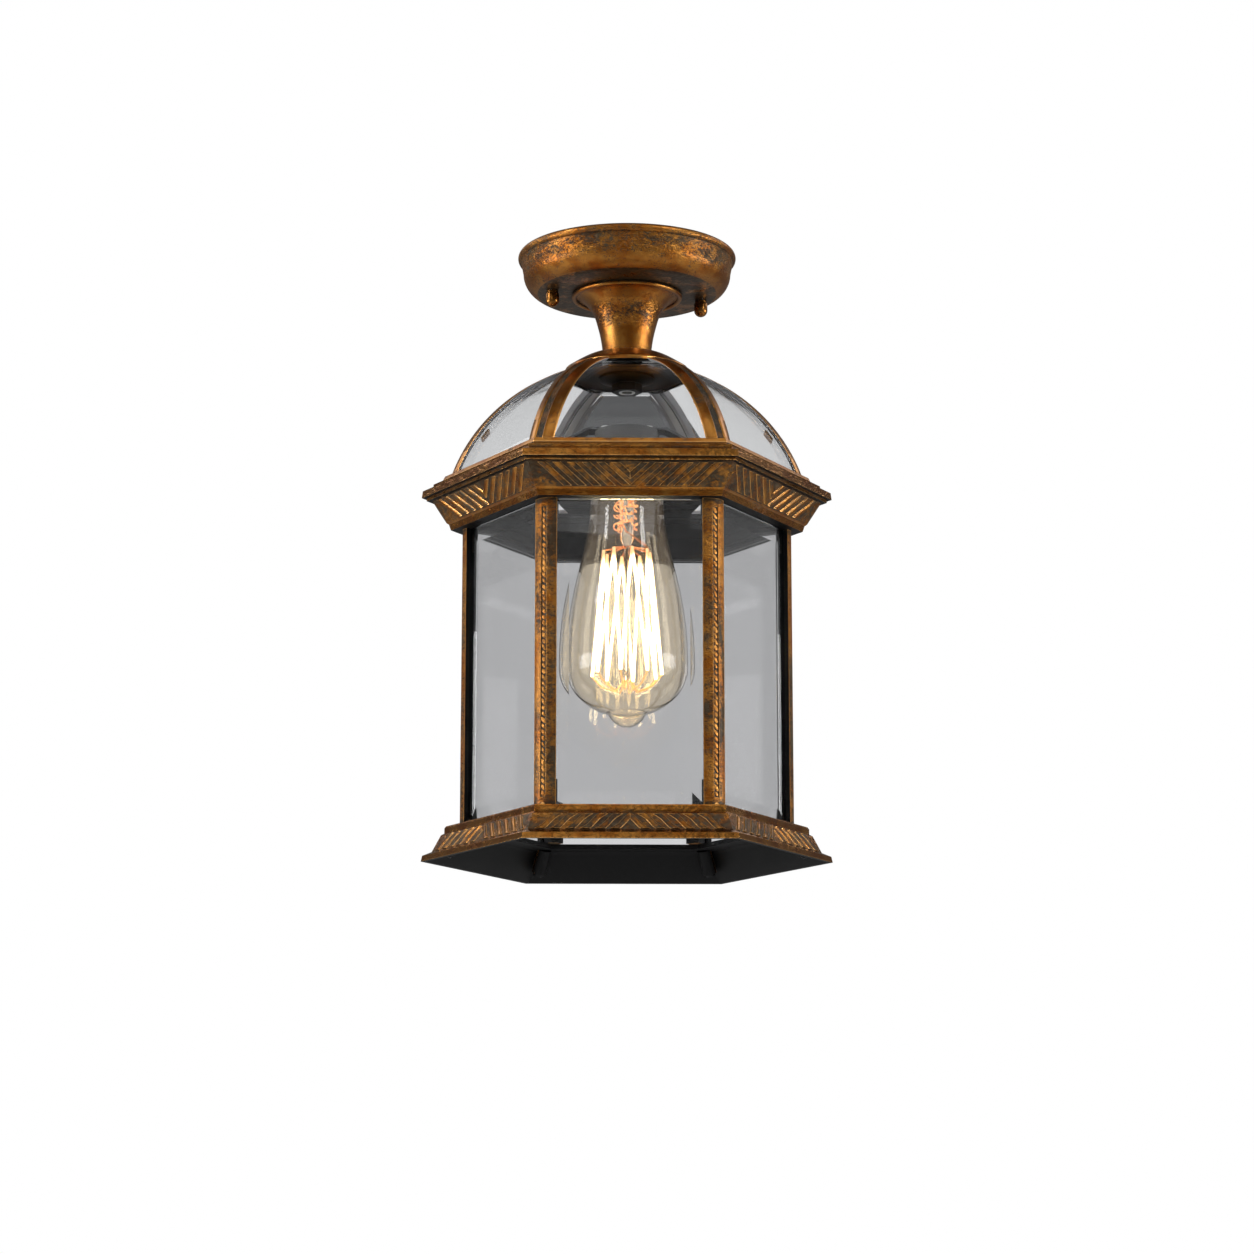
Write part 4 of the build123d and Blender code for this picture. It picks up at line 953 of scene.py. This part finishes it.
def coil(first):
    # one lead wire, curled as it goes a little over once round the stem's press
    w = lead
    spots = []
    for t in spread(0, 1, w["steps"]):
        curl = 2 * math.pi * w["curls"] * t + first
        angle = 2 * math.pi * w["turns"] * t + first
        size = w["curlR"] + w["swell"] * math.sin(w["swellRate"] * t + first)
        drop = w["topDrop"] + (w["lowDrop"] - w["topDrop"]) * t
        spot = direction(angle) * (w["r"] + size * math.cos(curl))
        spot.z = capLow - drop + size * math.sin(curl)
        spots.append(spot)
    return spots


def makeCage():
    c = cage
    top = capLow - c["topDrop"]
    low = capLow - c["lowDrop"]
    hooks = []
    legs = []
    for k in range(c["hooks"]):
        head = ring(c["topR"], top, k)
        foot = ring(c["lowR"], low, k + 0.5)
        hooks.append([ring(r, top + rise, k) for r, rise in c["topBends"]] + [head])
        hooks.append([ring(r, low + rise, k + 0.5) for r, rise in c["lowBends"]] + [foot])
        legs += [[head, foot], [foot, ring(c["topR"], top, k + 1)]]
    leads = []
    for k, first in ((0, 0.0), (c["hooks"] - 1, math.pi)):
        leads.append(coil(first) + [ring(lead["endR"], top + lead["endRise"], k), ring(c["topR"], top, k)])
    wirePiece("bulb_hooks_bent", hooks + leads, c["hookR"], wirePaintedGlow, ["bulb_hooks"])
    wirePiece("bulb_filament_lit", legs, c["legR"], filamentGlow, ["bulb_filament"])


makeGlassBulb()
makeCap()
makeStem()
makeCage()
print("lamp made")


# Finishes of the pieces that keep their own solids

keptFinishes = {
    "bar_rivet": brass, "bar_studs": zincSteel, "bridge_screws": blackScrew, "bulb_contact": brass,
    "bulb_insulator": blackGlass, "canopy_nut": zincSteel, "canopy_washer": zincSteel,
    "cornice_screws": blackScrew, "crown_nut": blackPaint, "crown_washer": blackPaint,
    "dome_pane_clips": goldDeep, "earth_screw": brass, "holder_body": porcelain, "holder_bridge": blackMatte,
    "holder_contact": brass, "holder_screws": zincSteel, "holder_shell": brass, "mounting_bar": zincSteel,
    "nipple": zincSteel, "skirt_screws": blackScrew, "stud_bar": zincSteel, "stud_locknuts": zincSteel,
}
for node, finish in keptFinishes.items():
    nodes[node].data.materials.clear()
    nodes[node].data.materials.append(finish)
print("kept solids finished")


# Stage: floor, a dark card of painted shade, world, lights and camera

stage = {"floorDrop": 0.95, "floorSize": 7.0, "floorGlow": 0.05, "floorSeen": 0.50, "ambient": 0.09,
         "mirrorShare": 0.05}


def stageObject(bm, name, finish):
    mesh = bpy.data.meshes.new(name)
    bm.to_mesh(mesh)
    bm.free()
    mesh.materials.append(finish)
    thing = bpy.data.objects.new(name, mesh)
    bpy.context.scene.collection.objects.link(thing)
    return thing


def makeFloor():
    bm = bmesh.new()
    bmesh.ops.create_grid(bm, x_segments=1, y_segments=1, size=stage["floorSize"])
    bmesh.ops.translate(bm, vec=(0, 0, -stage["floorDrop"]), verts=bm.verts)
    pale = newFinish("paleFloor")
    shade = pale.mix(pale.noise(3, 2), grey(0.80), grey(0.83))
    camera = pale.node("ShaderNodeLightPath", output="Is Camera Ray")
    through = pale.node("ShaderNodeLightPath", output="Is Transmission Ray")
    bounced = pale.step(pale.node("ShaderNodeLightPath", output="Diffuse Depth"), 0.0, 1.0)
    # pale to the eye, also through glass, without lighting the lantern
    seen = camera + through * (1 - bounced)
    glow = pale.mix(seen, grey(stage["floorGlow"]), grey(stage["floorSeen"]))
    finish = pale.surface(Base_Color=shade, Roughness=0.9, Emission_Color=glow, Emission_Strength=1.0)
    stageObject(bm, "floor", finish)


paintedShadeCard = {"back": 0.90, "middle": 0.0178, "low": 0.100, "lowHalf": 0.0780, "high": 0.205,
            "highHalf": 0.0195, "shade": 0.155}


def makePaintedShadeCard():
    # painted shade: a dark grey card that stands well behind the lantern and shows through its glass alone,
    # painting a dark patch into the dome's front pane
    s = paintedShadeCard
    bm = bmesh.new()
    corners = ((-s["lowHalf"], s["low"]), (s["lowHalf"], s["low"]),
               (s["highHalf"], s["high"]), (-s["highHalf"], s["high"]))
    verts = [bm.verts.new((s["middle"] + x, s["back"], z)) for x, z in corners]
    bmesh.ops.contextual_create(bm, geom=verts)
    dark = newFinish("paintedShadeCard")
    shade = s["shade"]
    tone = dark.mix(dark.noise(12, 2), grey(shade), rgb(0.85 * shade, 0.85 * shade, 0.87 * shade))
    finish = dark.surface(Base_Color=grey(0), Roughness=1.0, Specular_IOR_Level=0.0, Emission_Color=tone,
                          Emission_Strength=1.0)
    card = stageObject(bm, "paintedShadeCard", finish)
    card.visible_camera = False
    card.visible_diffuse = False
    card.visible_glossy = False
    card.visible_shadow = False


def makeWorld():
    world = bpy.data.worlds.new("studio")
    sky = Finish(world)
    camera = sky.node("ShaderNodeLightPath", output="Is Camera Ray")
    through = sky.node("ShaderNodeLightPath", output="Is Transmission Ray")
    mirrored = sky.node("ShaderNodeLightPath", output="Is Glossy Ray")
    seen = camera + through - camera * through
    bright = seen + stage["mirrorShare"] * mirrored * (1 - seen)
    soft = sky.node("ShaderNodeBackground", {}, {"Color": grey(1), "Strength": stage["ambient"]})
    white = sky.node("ShaderNodeBackground", {}, {"Color": grey(1), "Strength": 1.0})
    mixed = sky.node("ShaderNodeMixShader", {}, {0: bright, 1: soft, 2: white})
    sky.node("ShaderNodeOutputWorld", {}, {"Surface": mixed})
    bpy.context.scene.world = world


softBoxes = {
    "lowLeft": {"at": (-1.55, -0.25, -0.18), "wide": 1.00, "tall": 0.50, "power": 14.5},
    "lowRight": {"at": (1.55, -0.25, -0.18), "wide": 1.00, "tall": 0.50, "power": 13.5},
    "highLeft": {"at": (-1.20, -0.50, 0.70), "wide": 0.26, "tall": 0.60, "power": 9.0},
    "highRight": {"at": (0.92, -0.86, 0.67), "wide": 0.30, "tall": 0.50, "power": 7.0},
    "backLeft": {"at": (-1.40, 0.80, 0.90), "wide": 0.80, "tall": 0.60, "power": 4.0},
    "backRight": {"at": (1.40, 0.80, 0.90), "wide": 0.80, "tall": 0.60, "power": 4.0},
    "top": {"at": (0.00, -0.95, 1.25), "wide": 1.20, "tall": 0.50, "power": 2.6},
    "front": {"at": (-0.35, -1.70, 0.55), "wide": 0.90, "tall": 0.70, "power": 1.8},
}
aim = Vector((0, 0, -0.19))


def makeLights():
    for name, box in softBoxes.items():
        light = bpy.data.lights.new(name, "AREA")
        light.shape = "RECTANGLE"
        light.size = box["wide"]
        light.size_y = box["tall"]
        light.energy = box["power"]
        placed = bpy.data.objects.new(name, light)
        placed.location = box["at"]
        placed.rotation_euler = (aim - placed.location).to_track_quat("-Z", "Y").to_euler()
        bpy.context.scene.collection.objects.link(placed)


view = {"at": (-0.0370, -1.9639, -0.6283), "tilt": 11.40, "heading": -1.08, "lens": 95.86, "sensor": 36.0}


def makeCamera():
    data = bpy.data.cameras.new("camera")
    data.lens = view["lens"]
    data.sensor_width = view["sensor"]
    camera = bpy.data.objects.new("camera", data)
    camera.location = view["at"]
    camera.rotation_euler = (math.radians(90 + view["tilt"]), 0, math.radians(view["heading"]))
    bpy.context.scene.collection.objects.link(camera)
    bpy.context.scene.camera = camera


makeFloor()
makePaintedShadeCard()
makeWorld()
makeLights()
makeCamera()
bpy.context.scene.view_settings.view_transform = "Standard"
print("stage made")
